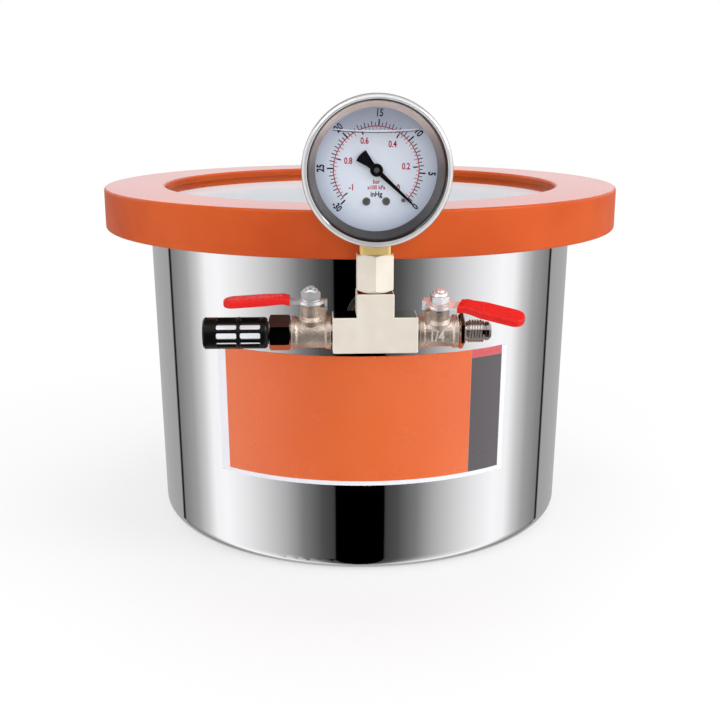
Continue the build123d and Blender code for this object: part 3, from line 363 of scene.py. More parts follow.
satin_nickel = metal_finish(
    "satin_nickel", (0.87, 0.79, 0.67), (0.93, 0.86, 0.74), (0.5, 0.6), 2600, 0.00002, metallic=0.4)
dark_nickel = metal_finish("dark_nickel", (0.4, 0.34, 0.31), (0.52, 0.45, 0.41), (0.07, 0.16), 700, 0.00001)
bright_nickel = metal_finish(
    "bright_nickel", (0.78, 0.77, 0.75), (0.86, 0.85, 0.84), (0.07, 0.14), 700, 0.00001)
bright_zinc = metal_finish(
    "bright_zinc", (0.85, 0.85, 0.86), (0.96, 0.96, 0.97), (0.06, 0.16), 1400, 0.00002, metallic=0.62)
cast_nickel = metal_finish(
    "cast_nickel", (0.36, 0.27, 0.2), (0.88, 0.74, 0.62), (0.22, 0.36), 1300, 0.0004, metallic=0.8)
turned_steel = metal_finish(
    "turned_steel", (0.58, 0.58, 0.59), (0.72, 0.72, 0.73), (0.18, 0.3), 1500, 0.00002, (1, 1, 6))
case_steel = metal_finish(
    "satin_case_steel", (0.6, 0.6, 0.61), (0.7, 0.7, 0.71), (0.25, 0.34), 1200, 0.00001, (1, 6, 1))
bezel_steel = metal_finish(
    "polished_bezel_steel", (0.76, 0.76, 0.76), (0.84, 0.83, 0.83), (0.05, 0.1), 500, 0.00001, metallic=0.5)
machined_brass = metal_finish(
    "machined_brass", (0.75, 0.52, 0.22), (0.88, 0.65, 0.3), (0.16, 0.26), 1600, 0.00001)
blasted_brass = metal_finish(
    "blasted_brass", (0.86, 0.57, 0.17), (0.97, 0.74, 0.31), (0.4, 0.55), 3200, 0.00008, metallic=0.45)
cover(satin_nickel, "manifold_block", "gauge_adapter")
cover(dark_nickel, "filter_adapter", "flare_fitting", "left_nipple", "right_nipple")
cover(bright_nickel, "left_valve_ball", "right_valve_ball")
cover(bright_zinc, "left_lever_nut", "right_lever_nut", "left_lever", "right_lever",
      "left_lever_washer", "right_lever_washer", "left_valve_stem", "right_valve_stem")
cover(cast_nickel, "left_valve_body", "right_valve_body")
cover(turned_steel, "bulkhead_washer")
screw_metal = metal_finish(
    "screw_metal", (0.1, 0.095, 0.09), (0.28, 0.27, 0.25), (0.3, 0.45), 2600, 0.00004, metallic=0.6)
cover(screw_metal, "dial_screws", "pointer_stop_pin")
arbor_metal = metal_finish(
    "arbor_metal", (0.06, 0.056, 0.054), (0.12, 0.11, 0.1), (0.3, 0.45), 900, 0.00001, metallic=0.3)
cover(arbor_metal, "pointer_arbor")
cover(case_steel, "gauge_case")
cover(bezel_steel, "gauge_bezel")
bezel_low, bezel_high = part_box("gauge_bezel")
bezel_radius = (bezel_high.x - bezel_low.x) / 2
tree = bezel_steel.node_tree
shader = tree.nodes["Principled BSDF"]
from_axis = reach_from(tree, (bezel_low + bezel_high) / 2, axes=(1, 0, 1))
bare = shader.inputs["Base Color"].links[0].from_socket
# Painted shade: a dark line inside the lip. Painted reflection: a reddish line where the crimp sits at the
# outer edge.
for start, stop, tone in ((2.3, 2.6, (0.015, 0.014, 0.014)), (0.35, 0.1, (0.3, 0.11, 0.08))):
    painted_line_share = ranged(tree, from_axis, bezel_radius - start * MM, bezel_radius - stop * MM)
    bare = mixed(tree, painted_line_share, bare, tone)
wire(tree, bare, shader.inputs["Base Color"])
cover(blasted_brass, "gauge_socket")
cover(machined_brass, "bulkhead_fitting", "bulkhead_lock_nut",
      "left_seat_retainer", "right_seat_retainer", "left_packing_gland", "right_packing_gland",
      "bourdon_tube", "bourdon_tip", "sector_gear",
      "movement_link", "movement_front_plate", "movement_back_plate", "movement_pillars")

# %% [markdown]
# ## Faces polished after casting
# The block's upward faces are milled and polished like a mirror, while its sides stay satin. The same
# metal shows both, so the shader looks at which way the surface points in the block's own space.

# %% Polish on upward faces


def polish_upward(material, polished_roughness, polished_metal=None):
    """Lower the roughness, and raise the metal, where the surface faces up in its own space."""
    tree = material.node_tree
    shader = tree.nodes["Principled BSDF"]
    facing = add(tree, "ShaderNodeNewGeometry")
    own_facing = add(
        tree, "ShaderNodeVectorTransform", vector_type="NORMAL", convert_from="WORLD", convert_to="OBJECT")
    up_share = add(tree, "ShaderNodeSeparateXYZ")
    wire(tree, facing.outputs["True Normal"], own_facing.inputs[0])
    wire(tree, own_facing.outputs[0], up_share.inputs[0])
    for name, polished in (("Roughness", polished_roughness), ("Metallic", polished_metal)):
        if polished is None:
            continue
        entry = shader.inputs[name]
        plain = entry.links[0].from_socket if entry.links else entry.default_value
        wire(tree, ranged(tree, up_share.outputs["Z"], 0.85, 0.97, plain, polished), entry)


polish_upward(satin_nickel, 0.06, 1.0)

# %% [markdown]
# ## What the polished pot mirrors
# A mirror-bright pot would show every small fitting in front of it and lose its clean bands. Reflections
# therefore see only the pot, the lid, the label and the parts that pass through the wall.

# %% Parts that reflections see
mirrored = {"chamber_pot", "lid_gasket", "glass_lid", "front_label"}
for name, node in frame["nodes"].items():
    node.visible_glossy = name in mirrored or name.startswith("bulkhead")

# %% [markdown]
# ## Silicone, rubber, vinyl and plastic
# Soft plastics let light in a little way. Subsurface scattering gives the silicone ring its glow at the
# edges. Its flat top was moulded against glass, so it is smoother and mirrors the bright room at a low angle.

# %% Soft finishes
silicone, tree, shader = new_finish(
    "orange_silicone", (0.64, 0.09, 0.009), 0, 0.4, Subsurface_Weight=0.2, Subsurface_Scale=0.003,
    IOR=1.34)
shader.inputs["Subsurface Radius"].default_value = (1.0, 0.35, 0.15)
vary_colour(tree, shader, object_noise(tree, 18, 3), (0.57, 0.073, 0.006), (0.67, 0.103, 0.011))
vary_roughness(tree, shader, object_noise(tree, 70, 4), 0.34, 0.5)
raise_bumps(tree, shader, object_noise(tree, 900, 3), 0.00002, 0.4)
polish_upward(silicone, 0.1)
cover(silicone, "lid_gasket")


def plastic_finish(name, colour, rough, grain_scale, grain_height, **sockets):
    """Moulded plastic or rubber with a fine grain."""
    material, tree, shader = new_finish(name, colour, 0, rough[1], **sockets)
    dark = tuple(channel * 0.86 for channel in colour)
    vary_colour(tree, shader, object_noise(tree, 120, 3), dark, colour)
    vary_roughness(tree, shader, object_noise(tree, 300, 3), *rough)
    raise_bumps(tree, shader, object_noise(tree, grain_scale, 3), grain_height, 0.6)
    return material


red_vinyl = plastic_finish(
    "dipped_red_vinyl", (0.76, 0.012, 0.01), (0.22, 0.34), 160, 0.00002, IOR=1.33)
black_rubber = plastic_finish("black_rubber", (0.025, 0.025, 0.027), (0.45, 0.6), 1500, 0.00003)
black_nylon = plastic_finish(
    "black_nylon", (0.004, 0.004, 0.004), (0.2, 0.32), 1300, 0.00002, IOR=1.28)
white_ptfe = plastic_finish("white_ptfe", (0.86, 0.86, 0.83), (0.35, 0.5), 900, 0.00001)
filter_fibre = plastic_finish("filter_fibre", (0.78, 0.78, 0.8), (0.8, 0.95), 2400, 0.0001)
pointer_paint = plastic_finish(
    "pointer_paint", (0.005, 0.005, 0.006), (0.45, 0.6), 2000, 0.000005, IOR=1.15)
cover(red_vinyl, "left_lever_grip", "right_lever_grip")
cover(black_rubber, "bulkhead_outer_seal", "bulkhead_inner_seal", "filler_plug", "window_seal")
cover(black_nylon, "filter_cage", "filter_end_cap")
cover(white_ptfe, "left_valve_seats", "right_valve_seats", "left_stem_packing", "right_stem_packing")
cover(filter_fibre, "filter_element")
cover(pointer_paint, "gauge_pointer")

# %% [markdown]
# ## Tapered ring round the dial
# The ring between the window and the dial is dull metal. Its upper part catches the white of the dial and
# its lower part only sees the dark room, so its tone changes with height, and so does the shader's.

# %% Dial ring
ring_low, ring_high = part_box("dial_ring")
dial_ring_metal, tree, shader = new_finish("dial_ring_metal", (0.3, 0.29, 0.28), 0.0, 0.45)
ring_share = ranged(tree, own_parts(tree)["Z"], ring_low.z, ring_high.z)
# Painted reflection at the top and painted shade lower down, set by height.
ring_painted_reflection_tone = toned(
    tree, ring_share, (0, (0.08, 0.077, 0.077)), (0.12, (0.07, 0.067, 0.067)),
    (0.5, (0.13, 0.125, 0.125)), (0.72, (0.4, 0.36, 0.34)), (0.86, (0.9, 0.82, 0.75)), (1, (1.0, 0.92, 0.85)))
wire(tree, ring_painted_reflection_tone, shader.inputs["Base Color"])
vary_roughness(tree, shader, object_noise(tree, 300, 3), 0.4, 0.55)
cover(dial_ring_metal, "dial_ring")

# %% [markdown]
# ## Glass
# The lid is thick clear glass, so it bends light and shows a green edge. The gauge's window is thin and
# flat. Both use transmission with the right refractive index; a little roughness stands for wiping.

# %% Lid glass and gauge window
lid_glass, tree, shader = new_finish(
    "lid_glass", (0.93, 0.985, 0.965), 0, 0.0, Transmission_Weight=1.0, IOR=1.5)
vary_roughness(tree, shader, object_noise(tree, 12, 4), 0.0, 0.03)
cover(lid_glass, "glass_lid")
window_glass, tree, shader = new_finish(
    "window_glass", (0.985, 0.99, 1.0), 0, 0.0, Transmission_Weight=1.0, IOR=1.46)
vary_roughness(tree, shader, object_noise(tree, 30, 3), 0.0, 0.02)
cover(window_glass, "gauge_window")
for pane in ("glass_lid", "gauge_window"):
    frame["nodes"][pane].visible_shadow = False  # lamps shine through clear glass

# %% [markdown]
# ## Dial ground
# The dial is enamelled white. It sits deep in its ring, so less light reaches its rim than its middle, and
# the tone falls off with the distance from the centre.

# %% Dial ground
dial_white, tree, shader = new_finish("dial_white", (0.62, 0.66, 0.73), 0, 0.5, IOR=1.2)
disc_low, disc_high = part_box("gauge_dial")
disc_radius = (disc_high.x - disc_low.x) / 2
disc_share = maths(tree, "DIVIDE", reach_from(tree, (disc_low + disc_high) / 2), disc_radius)
# Painted shade: the colour darkens from the middle towards the rim.
dial_tone_with_painted_shade = toned(tree, disc_share, (0, (0.8, 0.86, 0.92)), (0.6, (0.73, 0.78, 0.86)),
                  (0.82, (0.57, 0.62, 0.72)), (1, (0.4, 0.45, 0.55)))
wire(tree, dial_tone_with_painted_shade, shader.inputs["Base Color"])
vary_roughness(tree, shader, object_noise(tree, 60, 3), 0.45, 0.6)
raise_bumps(tree, shader, object_noise(tree, 2200, 2), 0.000004, 0.5)
cover(dial_white, "gauge_dial")

# %% [markdown]
# ## The label
# A printed film is one surface with several inks. Its fields are bands of angle round the pot and of
# height, so the shader works both out from the object's own coordinates and mixes the inks. All its
# fields are left without words: a white margin, a large orange field and a dark strip with a red head.

# %% Label inks
label_film, tree, shader = new_finish(
    "label_film", (0.9, 0.9, 0.92), 0, 0.22, Coat_Weight=0.4, Coat_Roughness=0.1)
label_parts = own_parts(tree)
turn = maths(tree, "ARCTAN2", label_parts["X"], maths(tree, "MULTIPLY", label_parts["Y"], -1))
rise = label_parts["Z"]


def between(tree, value, low, high, soft):
    """1 where value lies between low and high, with soft edges."""
    starts = ranged(tree, value, low - soft, low + soft, blend="SMOOTHSTEP")
    stops = ranged(tree, value, high - soft, high + soft, 1, 0, "SMOOTHSTEP")
    return maths(tree, "MULTIPLY", starts, stops)


def print_ink(tree, under, ink, across, up):
    """Mix an ink over the colour under it, inside bands of angle and height."""
    return mixed(tree, maths(tree, "MULTIPLY", across, up), under, ink)


label_low, label_high = (corner.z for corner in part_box("front_label"))
orange = toned(tree, object_noise(tree, 16, 2), (0, (0.72, 0.115, 0.022)), (1, (0.84, 0.17, 0.045)))
soft_turn, soft_rise = radians(0.08), 0.1 * MM
field_left, strip_left, strip_right = radians(-37.4), radians(25.6), radians(35.0)
margin_top, head_low, past_top = label_low + 2.4 * MM, label_high - 4.4 * MM, label_high + 1 * MM
field = print_ink(tree, (0.87, 0.86, 0.9), orange, between(tree, turn, field_left, strip_left, soft_turn),
                  between(tree, rise, margin_top, past_top, soft_rise))
over_strip = between(tree, turn, strip_left, strip_right, soft_turn)
strip = print_ink(tree, field, (0.085, 0.075, 0.08), over_strip,
                  between(tree, rise, margin_top, head_low, soft_rise))
head = print_ink(tree, strip, (0.62, 0.09, 0.1), over_strip,
                 between(tree, rise, head_low, past_top, soft_rise))
wire(tree, head, shader.inputs["Base Color"])
vary_roughness(tree, shader, object_noise(tree, 60, 3), 0.18, 0.3)
cover(label_film, "front_label")

# %% [markdown]
# ## The dial's print
# A dial is a scale that repeats, so its marks are made with Geometry Nodes: points on an arc, a bar on
# each point, longer and thicker bars at every whole step. One tree makes the black scale and the red
# one from its named inputs. The numbers are text turned into flat mesh.

# %% Helpers for pieces that repeat
dial_low, dial_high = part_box("gauge_dial")
gauge_middle = Vector(((dial_low.x + dial_high.x) / 2, dial_low.y, (dial_low.z + dial_high.z) / 2))
gauge_frame = Matrix.Translation(gauge_middle) @ Matrix.Rotation(pi / 2, 4, "X")


def new_tree(name, takes_shape=False, **inputs):
    """A Geometry Nodes tree with named inputs; returns it, its inputs and its output node."""
    tree = bpy.data.node_groups.new(name, "GeometryNodeTree")
    tree.interface.new_socket("Geometry", in_out="OUTPUT", socket_type="NodeSocketGeometry")
    if takes_shape:
        tree.interface.new_socket("Shape", in_out="INPUT", socket_type="NodeSocketGeometry")
    for label, value in inputs.items():
        kind = {int: "NodeSocketInt", float: "NodeSocketFloat"}.get(type(value), "NodeSocketMaterial")
        entry = tree.interface.new_socket(label.replace("_", " "), in_out="INPUT", socket_type=kind)
        entry.default_value = value
    return tree, tree.nodes.new("NodeGroupInput").outputs, tree.nodes.new("NodeGroupOutput")


def end_tree(tree, shape, material, result):
    """End a tree: make instances real, give them their material and hand them out."""
    real = add(tree, "GeometryNodeRealizeInstances")
    coated = add(tree, "GeometryNodeSetMaterial")
    wire(tree, shape, real.inputs[0])
    wire(tree, real.outputs[0], coated.inputs["Geometry"])
    wire(tree, material, coated.inputs["Material"])
    wire(tree, coated.outputs[0], result.inputs[0])


def grow(name, tree, place, body, material_slot, start_shape=None, **inputs):
    """Run a tree on a mesh, empty unless given, keep the result as a plain mesh, and ride it on its body."""
    seedling = bpy.data.objects.new(name + "_source", start_shape or bpy.data.meshes.new(name + "_source"))
    bpy.context.scene.collection.objects.link(seedling)
    modifier = seedling.modifiers.new("shape", "NODES")
    modifier.node_group = tree
    for entry in tree.interface.items_tree:
        if entry.in_out == "INPUT" and entry.name.replace(" ", "_") in inputs:
            modifier[entry.identifier] = inputs[entry.name.replace(" ", "_")]
    evaluated = seedling.evaluated_get(bpy.context.evaluated_depsgraph_get())
    mesh = bpy.data.meshes.new_from_object(evaluated)
    mesh.transform(place)
    seedling.modifiers.remove(modifier)
    bpy.data.objects.remove(seedling)
    return keep(name, mesh, body)


def keep(name, mesh, body):
    """Put a finished mesh in the scene as a piece of the object."""
    mesh.name = name
    piece = bpy.data.objects.new(name, mesh)
    bpy.context.scene.collection.objects.link(piece)
    piece.visible_glossy = False
    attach(piece, body)
    print(name, len(mesh.vertices), "vertices")
    return piece


# %% Scale marks on an arc
red_ink = plastic_finish("red_ink", (0.5, 0.008, 0.03), (0.4, 0.5), 1500, 0.000002, IOR=1.15)
black_ink = plastic_finish("black_ink", (0.004, 0.004, 0.005), (0.4, 0.5), 1500, 0.000002, IOR=1.15)
marks, given, result = new_tree(
    "marks_on_an_arc", Count=61, Every=10, Start=0.0, Step=0.1, Radius=0.02, Length=0.001, Width=0.0001,
    Long=0.002, Broad=0.0003, Ink=None)
index = add(marks, "GeometryNodeInputIndex").outputs[0]
on_step = maths(marks, "COMPARE", maths(marks, "MODULO", index, given["Every"]), 0, 0.1)
length = maths(marks, "ADD", given["Length"], maths(
    marks, "MULTIPLY", on_step, maths(marks, "SUBTRACT", given["Long"], given["Length"])))
width = maths(marks, "ADD", given["Width"], maths(
    marks, "MULTIPLY", on_step, maths(marks, "SUBTRACT", given["Broad"], given["Width"])))
angle = maths(marks, "ADD", given["Start"], maths(marks, "MULTIPLY", index, given["Step"]))
reach = maths(marks, "ADD", given["Radius"], maths(marks, "DIVIDE", length, 2))
spot = add(marks, "ShaderNodeCombineXYZ")
wire(marks, maths(marks, "MULTIPLY", maths(marks, "COSINE", angle), reach), spot.inputs["X"])
wire(marks, maths(marks, "MULTIPLY", maths(marks, "SINE", angle), reach), spot.inputs["Y"])
points = add(marks, "GeometryNodePoints")
wire(marks, given["Count"], points.inputs["Count"])
wire(marks, spot.outputs[0], points.inputs["Position"])
bar = add(marks, "GeometryNodeMeshGrid")
bar.inputs["Size X"].default_value = bar.inputs["Size Y"].default_value = 1
bar.inputs["Vertices X"].default_value = bar.inputs["Vertices Y"].default_value = 2
size = add(marks, "ShaderNodeCombineXYZ")
size.inputs["Z"].default_value = 1
wire(marks, maths(marks, "ABSOLUTE", length), size.inputs["X"])
wire(marks, width, size.inputs["Y"])
heading = add(marks, "ShaderNodeCombineXYZ")
wire(marks, angle, heading.inputs["Z"])
on_points = add(marks, "GeometryNodeInstanceOnPoints")
wire(marks, points.outputs[0], on_points.inputs["Points"])
wire(marks, bar.outputs["Mesh"], on_points.inputs["Instance"])
wire(marks, heading.outputs[0], on_points.inputs["Rotation"])
wire(marks, size.outputs[0], on_points.inputs["Scale"])
end_tree(marks, on_points.outputs[0], given["Ink"], result)

# %% [markdown]
# ## Both scales
# The black outer scale counts inches of mercury and the red inner one counts bar. Each has short marks,
# longer ones at whole steps and broad ones at its numbers. All angles are in degrees from the right.


# %% Both scales, in inches of mercury and in bar
lift = Matrix.Translation((0, 0, 0.00004))
zero_at, black_per_unit, red_per_unit = -49.9, 9.12, 268.0


def print_scale(name, ink, count, every, start, step, radius, plain, whole):
    """Marks on an arc; plain and whole marks are each given as (length, width) in metres."""
    return grow(name, marks, gauge_frame @ lift, "chamber", "pointer_black", Count=count, Every=every,
                Start=radians(start), Step=radians(step), Radius=radius, Length=plain[0], Width=plain[1],
                Long=whole[0], Broad=whole[1], Ink=ink)


print_scale("black_scale", black_ink, 59, 2, zero_at + black_per_unit, black_per_unit / 2, 0.0194,
            (0.0014, 0.00038), (0.002, 0.00042))
print_scale("black_scale_numbered", black_ink, 6, 1, zero_at + black_per_unit * 5, black_per_unit * 5, 0.0194,
            (0.0028, 0.00065), (0.0028, 0.00065))
print_scale("black_scale_zero", black_ink, 1, 1, -43.4, 5.7, 0.0197, (0.003, 0.0006), (0.003, 0.0006))
print_scale("red_scale", red_ink, 49, 5, zero_at + red_per_unit * 0.04, red_per_unit * 0.02, 0.0191,
            (-0.0012, 0.00026), (-0.0018, 0.00028))
print_scale("red_scale_numbered", black_ink, 5, 1, zero_at + red_per_unit * 0.2, red_per_unit * 0.2, 0.0187,
            (-0.0022, 0.0006), (-0.0022, 0.0006))
print_scale("red_arc", red_ink, 135, 1, -42.5, 261.5 / 134, 0.019, (0.0004, 0.00068), (0.0004, 0.00068))

# %% [markdown]
# ## Numbers
# Each number is a text object, narrowed and made a little bolder, then turned into a mesh. All numbers of
# one ink are joined in one piece. The outer ones stand square to their marks.


# %% Numbers
def text_mesh(words, size, narrow, bold, place, thick=0.0):
    """Mesh of a word, narrowed and made bolder, centred on place; thick gives it depth."""
    line = bpy.data.curves.new("words", "FONT")
    line.body, line.size, line.offset, line.extrude = words, size, bold, thick
    line.align_x, line.align_y = "CENTER", "CENTER"
    line.resolution_u = 3
    holder = bpy.data.objects.new("words", line)
    bpy.context.scene.collection.objects.link(holder)
    mesh = bpy.data.meshes.new_from_object(holder.evaluated_get(bpy.context.evaluated_depsgraph_get()))
    bpy.data.objects.remove(holder)
    mesh.transform(place @ Matrix.Diagonal((narrow, 1, 1, 1)))
    return mesh


def write_numbers(name, entries, ink):
    """One piece from several words: each entry is (words, x, y, turn, size, narrow, bold), in millimetres."""
    shape = bmesh.new()
    for words, x, y, turned_by, size, narrow, bold in entries:
        spot = Matrix.Translation((x * MM, y * MM, 0)) @ Matrix.Rotation(radians(turned_by), 4, "Z")
        mesh = text_mesh(words, size * MM, narrow, bold * MM, spot)
        shape.from_mesh(mesh)
        bpy.data.meshes.remove(mesh)
    mesh = bpy.data.meshes.new(name)
    shape.to_mesh(mesh)
    shape.free()
    mesh.transform(gauge_frame @ lift)
    mesh.materials.append(ink)
    return keep(name, mesh, "chamber")


number_ring, number_size = 24.9, 4.6
black_entries = []
for value in (5, 10, 15, 20, 25):
    at = zero_at + black_per_unit * value
    black_entries.append((str(value), number_ring * cos(radians(at)), number_ring * sin(radians(at)),
                          at - 90, number_size, 0.76, 0.14))
for words, at in (("0", -43.0), ("-30", 222.6)):
    black_entries.append((words, 24.2 * cos(radians(at)), 24.2 * sin(radians(at)), at + 90, 4.3, 0.76, 0.14))
black_entries.append(("inHg", 0, -10.9, 0, 3.2, 0.88, 0.09))
write_numbers("black_numbers", black_entries, black_ink)
red_entries = [
    ("0.2", 13.3, 1.4, 0, 4.0, 0.76, 0.1), ("0.4", 7.2, 11.2, 0, 4.0, 0.76, 0.1),
    ("0.6", -5.3, 12.7, 0, 4.0, 0.76, 0.1), ("0.8", -12.6, 3.9, 0, 4.0, 0.76, 0.1),
    ("-1", -11.2, -7.8, 0, 4.0, 0.76, 0.1), ("0", 9.9, -8.0, 0, 3.8, 0.76, 0.1),
    ("bar", 0, -5.3, 0, 2.7, 0.88, 0.06), ("x100 kPa", 0, -7.9, 0, 2.6, 0.84, 0.06),
]
write_numbers("red_numbers", red_entries, red_ink)

# %% [markdown]
# ## Liquid in the gauge
# The case is nearly full of clear liquid, which steadies the pointer. What shows is its surface: a
# shallow curve that climbs at the walls, a bright line over a dark one, and a duller dial above it,
# where there is air. A full body of liquid would hide nothing more, so a thin dark film behind the window
# paints the dull air space as painted shade, and two curved lines paint the surface: a painted highlight
# over a line of painted shade.

# %% Air space and liquid surface
window_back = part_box("window_seal")[0].y + 0.0003
film_lift = gauge_middle.y - window_back
level, climb, film_radius = 16.7 * MM, 1.3 * MM, 27.2 * MM


def surface_height(x):
    """Height of the liquid's surface over the dial's centre, at a distance from the middle."""
    return level + climb * (abs(x) / (22 * MM)) ** 2


def film_piece(name, half, lower, upper, steps, material, depth):
    """Flat strip between two heights that are functions of x, behind the window."""
    shape = bmesh.new()
    rows = []
    for step in range(steps + 1):
        x = -half + 2 * half * step / steps
        rows.append([shape.verts.new((x, lower(x), depth)), shape.verts.new((x, upper(x), depth))])
    for first, second in zip(rows, rows[1:]):
        shape.faces.new((first[0], second[0], second[1], first[1]))
    mesh = bpy.data.meshes.new(name)
    shape.to_mesh(mesh)
    shape.free()
    mesh.transform(gauge_frame)
    mesh.materials.append(material)
    return keep(name, mesh, "chamber")


def rim_height(x):
    """Height of the case's round wall at a distance from the middle."""
    return max((film_radius**2 - x**2) ** 0.5, surface_height(x))


# Painted shade: a dark see-through film that dulls the dial where there is air.
air_space_painted_shade, tree, shader = new_finish("air_space", (0.1, 0.12, 0.2), 0, 0.3, Alpha=0.26)
vary_colour(tree, shader, object_noise(tree, 40, 2), (0.09, 0.11, 0.19), (0.12, 0.14, 0.22))
# Painted shade and a painted highlight: the dark and the bright line of the liquid's surface.
meniscus_painted_shade, tree, shader = new_finish("surface_shade", (0.02, 0.025, 0.04), 0, 0.1, Alpha=0.8)
vary_roughness(tree, shader, object_noise(tree, 80, 2), 0.05, 0.2)
meniscus_painted_highlight, tree, shader = new_finish("surface_shine", (0.9, 0.92, 0.96), 0, 0.1, Alpha=0.5)
vary_roughness(tree, shader, object_noise(tree, 80, 2), 0.05, 0.2)
film_piece("gauge_air_space", 21.1 * MM, surface_height, rim_height, 60, air_space_painted_shade, film_lift)
film_piece("liquid_surface_shade", 19.4 * MM, lambda x: surface_height(x) - 0.28 * MM,
           lambda x: surface_height(x) + 0.12 * MM * (1 - (x / (26 * MM)) ** 2) + 0.02 * MM, 60, meniscus_painted_shade,
           film_lift + 0.00003)
film_piece("liquid_surface_shine", 19.0 * MM, lambda x: surface_height(x) + 0.2 * MM,
           lambda x: surface_height(x) + 1.0 * MM - 0.6 * MM * (x / (26 * MM)) ** 2, 60, meniscus_painted_highlight,
           film_lift + 0.00003)

# %% [markdown]
# ## The flare fitting's thread
# A thread is a profile carried along a helix. Geometry Nodes have both: a spiral curve and a curve
# swept to a mesh. The core is turned from a profile, as on a lathe, and stands for the plain CAD solid.

# %% Lathe and thread
crease = radians(35)  # edges sharper than this stay sharp


def turned_mesh(name, profile, segments, closed=True):
    """Turn (radius, place along +X) points about the X axis; the profile runs round the solid."""
    shape = bmesh.new()
    rings = []
    for radius, along in profile:
        if radius < 1e-9:
            rings.append([shape.verts.new((along, 0, 0))])
            continue
        rings.append([
            shape.verts.new((along, radius * cos(2 * pi * n / segments), radius * sin(2 * pi * n / segments)))
            for n in range(segments)
        ])
    pairs = list(zip(rings, rings[1:])) + ([(rings[-1], rings[0])] if closed else [])
    for first, second in pairs:
        for n in range(segments):
            corners = [first[n % len(first)], first[(n + 1) % len(first)],
                       second[(n + 1) % len(second)], second[n % len(second)]]
            unique = list(dict.fromkeys(corners))
            if len(unique) > 2:
                shape.faces.new(unique)
    bmesh.ops.recalc_face_normals(shape, faces=shape.faces)
    for face in shape.faces:
        face.smooth = True
    for side in shape.edges:
        if len(side.link_faces) == 2 and side.calc_face_angle() > crease:
            side.smooth = False
    mesh = bpy.data.meshes.new(name)
    shape.to_mesh(mesh)
    shape.free()
    return mesh


thread, given, result = new_tree(
    "screw_thread", Radius=0.005, Pitch=0.00127, Turns=5.0, Depth=0.0006, Steps=64, Finish=None)
helix = add(thread, "GeometryNodeCurveSpiral")
wire(thread, given["Steps"], helix.inputs["Resolution"])
wire(thread, given["Turns"], helix.inputs["Rotations"])
wire(thread, given["Radius"], helix.inputs["Start Radius"])
wire(thread, given["Radius"], helix.inputs["End Radius"])
wire(thread, maths(thread, "MULTIPLY", given["Pitch"], given["Turns"]), helix.inputs["Height"])
upright = add(thread, "GeometryNodeSetCurveNormal", mode="Z_UP")
wire(thread, helix.outputs[0], upright.inputs[0])
crest = add(thread, "GeometryNodeCurvePrimitiveCircle")
crest.inputs["Resolution"].default_value = 6
wire(thread, given["Depth"], crest.inputs["Radius"])
swept = add(thread, "GeometryNodeCurveToMesh")
swept.inputs["Fill Caps"].default_value = True
wire(thread, upright.outputs[0], swept.inputs["Curve"])
wire(thread, crest.outputs[0], swept.inputs["Profile Curve"])
smooth = add(thread, "GeometryNodeSetShadeSmooth")
wire(thread, swept.outputs[0], smooth.inputs[0])
end_tree(thread, smooth.outputs[0], given["Finish"], result)

# %% The fitting itself
flare_mount = next(m for m in frame["record"]["mounts"] if m["name"] == "flare_port")
thread_middle, thread_span = Vector(flare_mount["pos_m"]), flare_mount["dims"]["length_mm"] * MM
thread_crest = flare_mount["dims"]["r_mm"] * MM
flare_low, flare_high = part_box("flare_fitting")
thread_start, thread_end = thread_middle.x - thread_span / 2, thread_middle.x + thread_span / 2
core, bore = thread_crest - 0.55 * MM, 2.4 * MM
neck_start = thread_start - 1.8 * MM
hex_start, hex_corner = neck_start - 2.8 * MM, (flare_high.z - flare_low.z) / 2
fitting_profile = [
    (bore, flare_low.x), (6.1 * MM, flare_low.x), (6.1 * MM, neck_start - 1.0 * MM), (4.9 * MM, neck_start),
    (4.7 * MM, neck_start + 0.3 * MM), (4.7 * MM, thread_start - 0.2 * MM), (core, thread_start),
    (core, thread_end), (4.1 * MM, thread_end + 0.15 * MM), (4.1 * MM, thread_end + 0.75 * MM),
    (4.6 * MM, thread_end + 0.9 * MM), (4.6 * MM, flare_high.x - 1.2 * MM), (3.4 * MM, flare_high.x),
    (bore, flare_high.x),
]
hex_profile = [
    (4 * MM, hex_start), (hex_corner * 0.88, hex_start), (hex_corner, hex_start + 0.6 * MM),
    (hex_corner, neck_start - 0.6 * MM), (hex_corner * 0.88, neck_start), (4 * MM, neck_start),
]
to_pipe = Matrix.Translation((0, thread_middle.y, thread_middle.z))
joined = bmesh.new()
for name, profile, segments, turn in (("core", fitting_profile, 72, 0), ("hexagon", hex_profile, 6, pi / 6)):
    shell = turned_mesh(name, profile, segments)
    shell.transform(to_pipe @ Matrix.Rotation(turn, 4, "X"))
    joined.from_mesh(shell)
    bpy.data.meshes.remove(shell)
fitting_mesh = bpy.data.meshes.new("flare_turned")
joined.to_mesh(fitting_mesh)
joined.free()
fitting_mesh.materials.append(dark_nickel)
fitting = keep("flare_turned", fitting_mesh, "chamber")
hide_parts("flare_fitting")
grow(
    "flare_thread", thread,
    to_pipe @ Matrix.Translation((thread_start + 0.35 * MM, 0, 0)) @ Matrix.Rotation(pi / 2, 4, "Y"),
    "chamber", "bright_nickel", Radius=core + 0.05 * MM, Pitch=1.27 * MM, Turns=thread_span / (1.27 * MM) - 0.6,
    Depth=0.46 * MM, Steps=48, Finish=dark_nickel)

# %% [markdown]
# ## The filter's cage
# The cage is a moulded tube with equal slots round it in two rows. The tube is turned from its profile;
# then Geometry Nodes place one rounded cutter per slot from a count and a spacing, and cut them all out.
# A slot faces straight forward, as on the real one, so it stands for the CAD's cage.

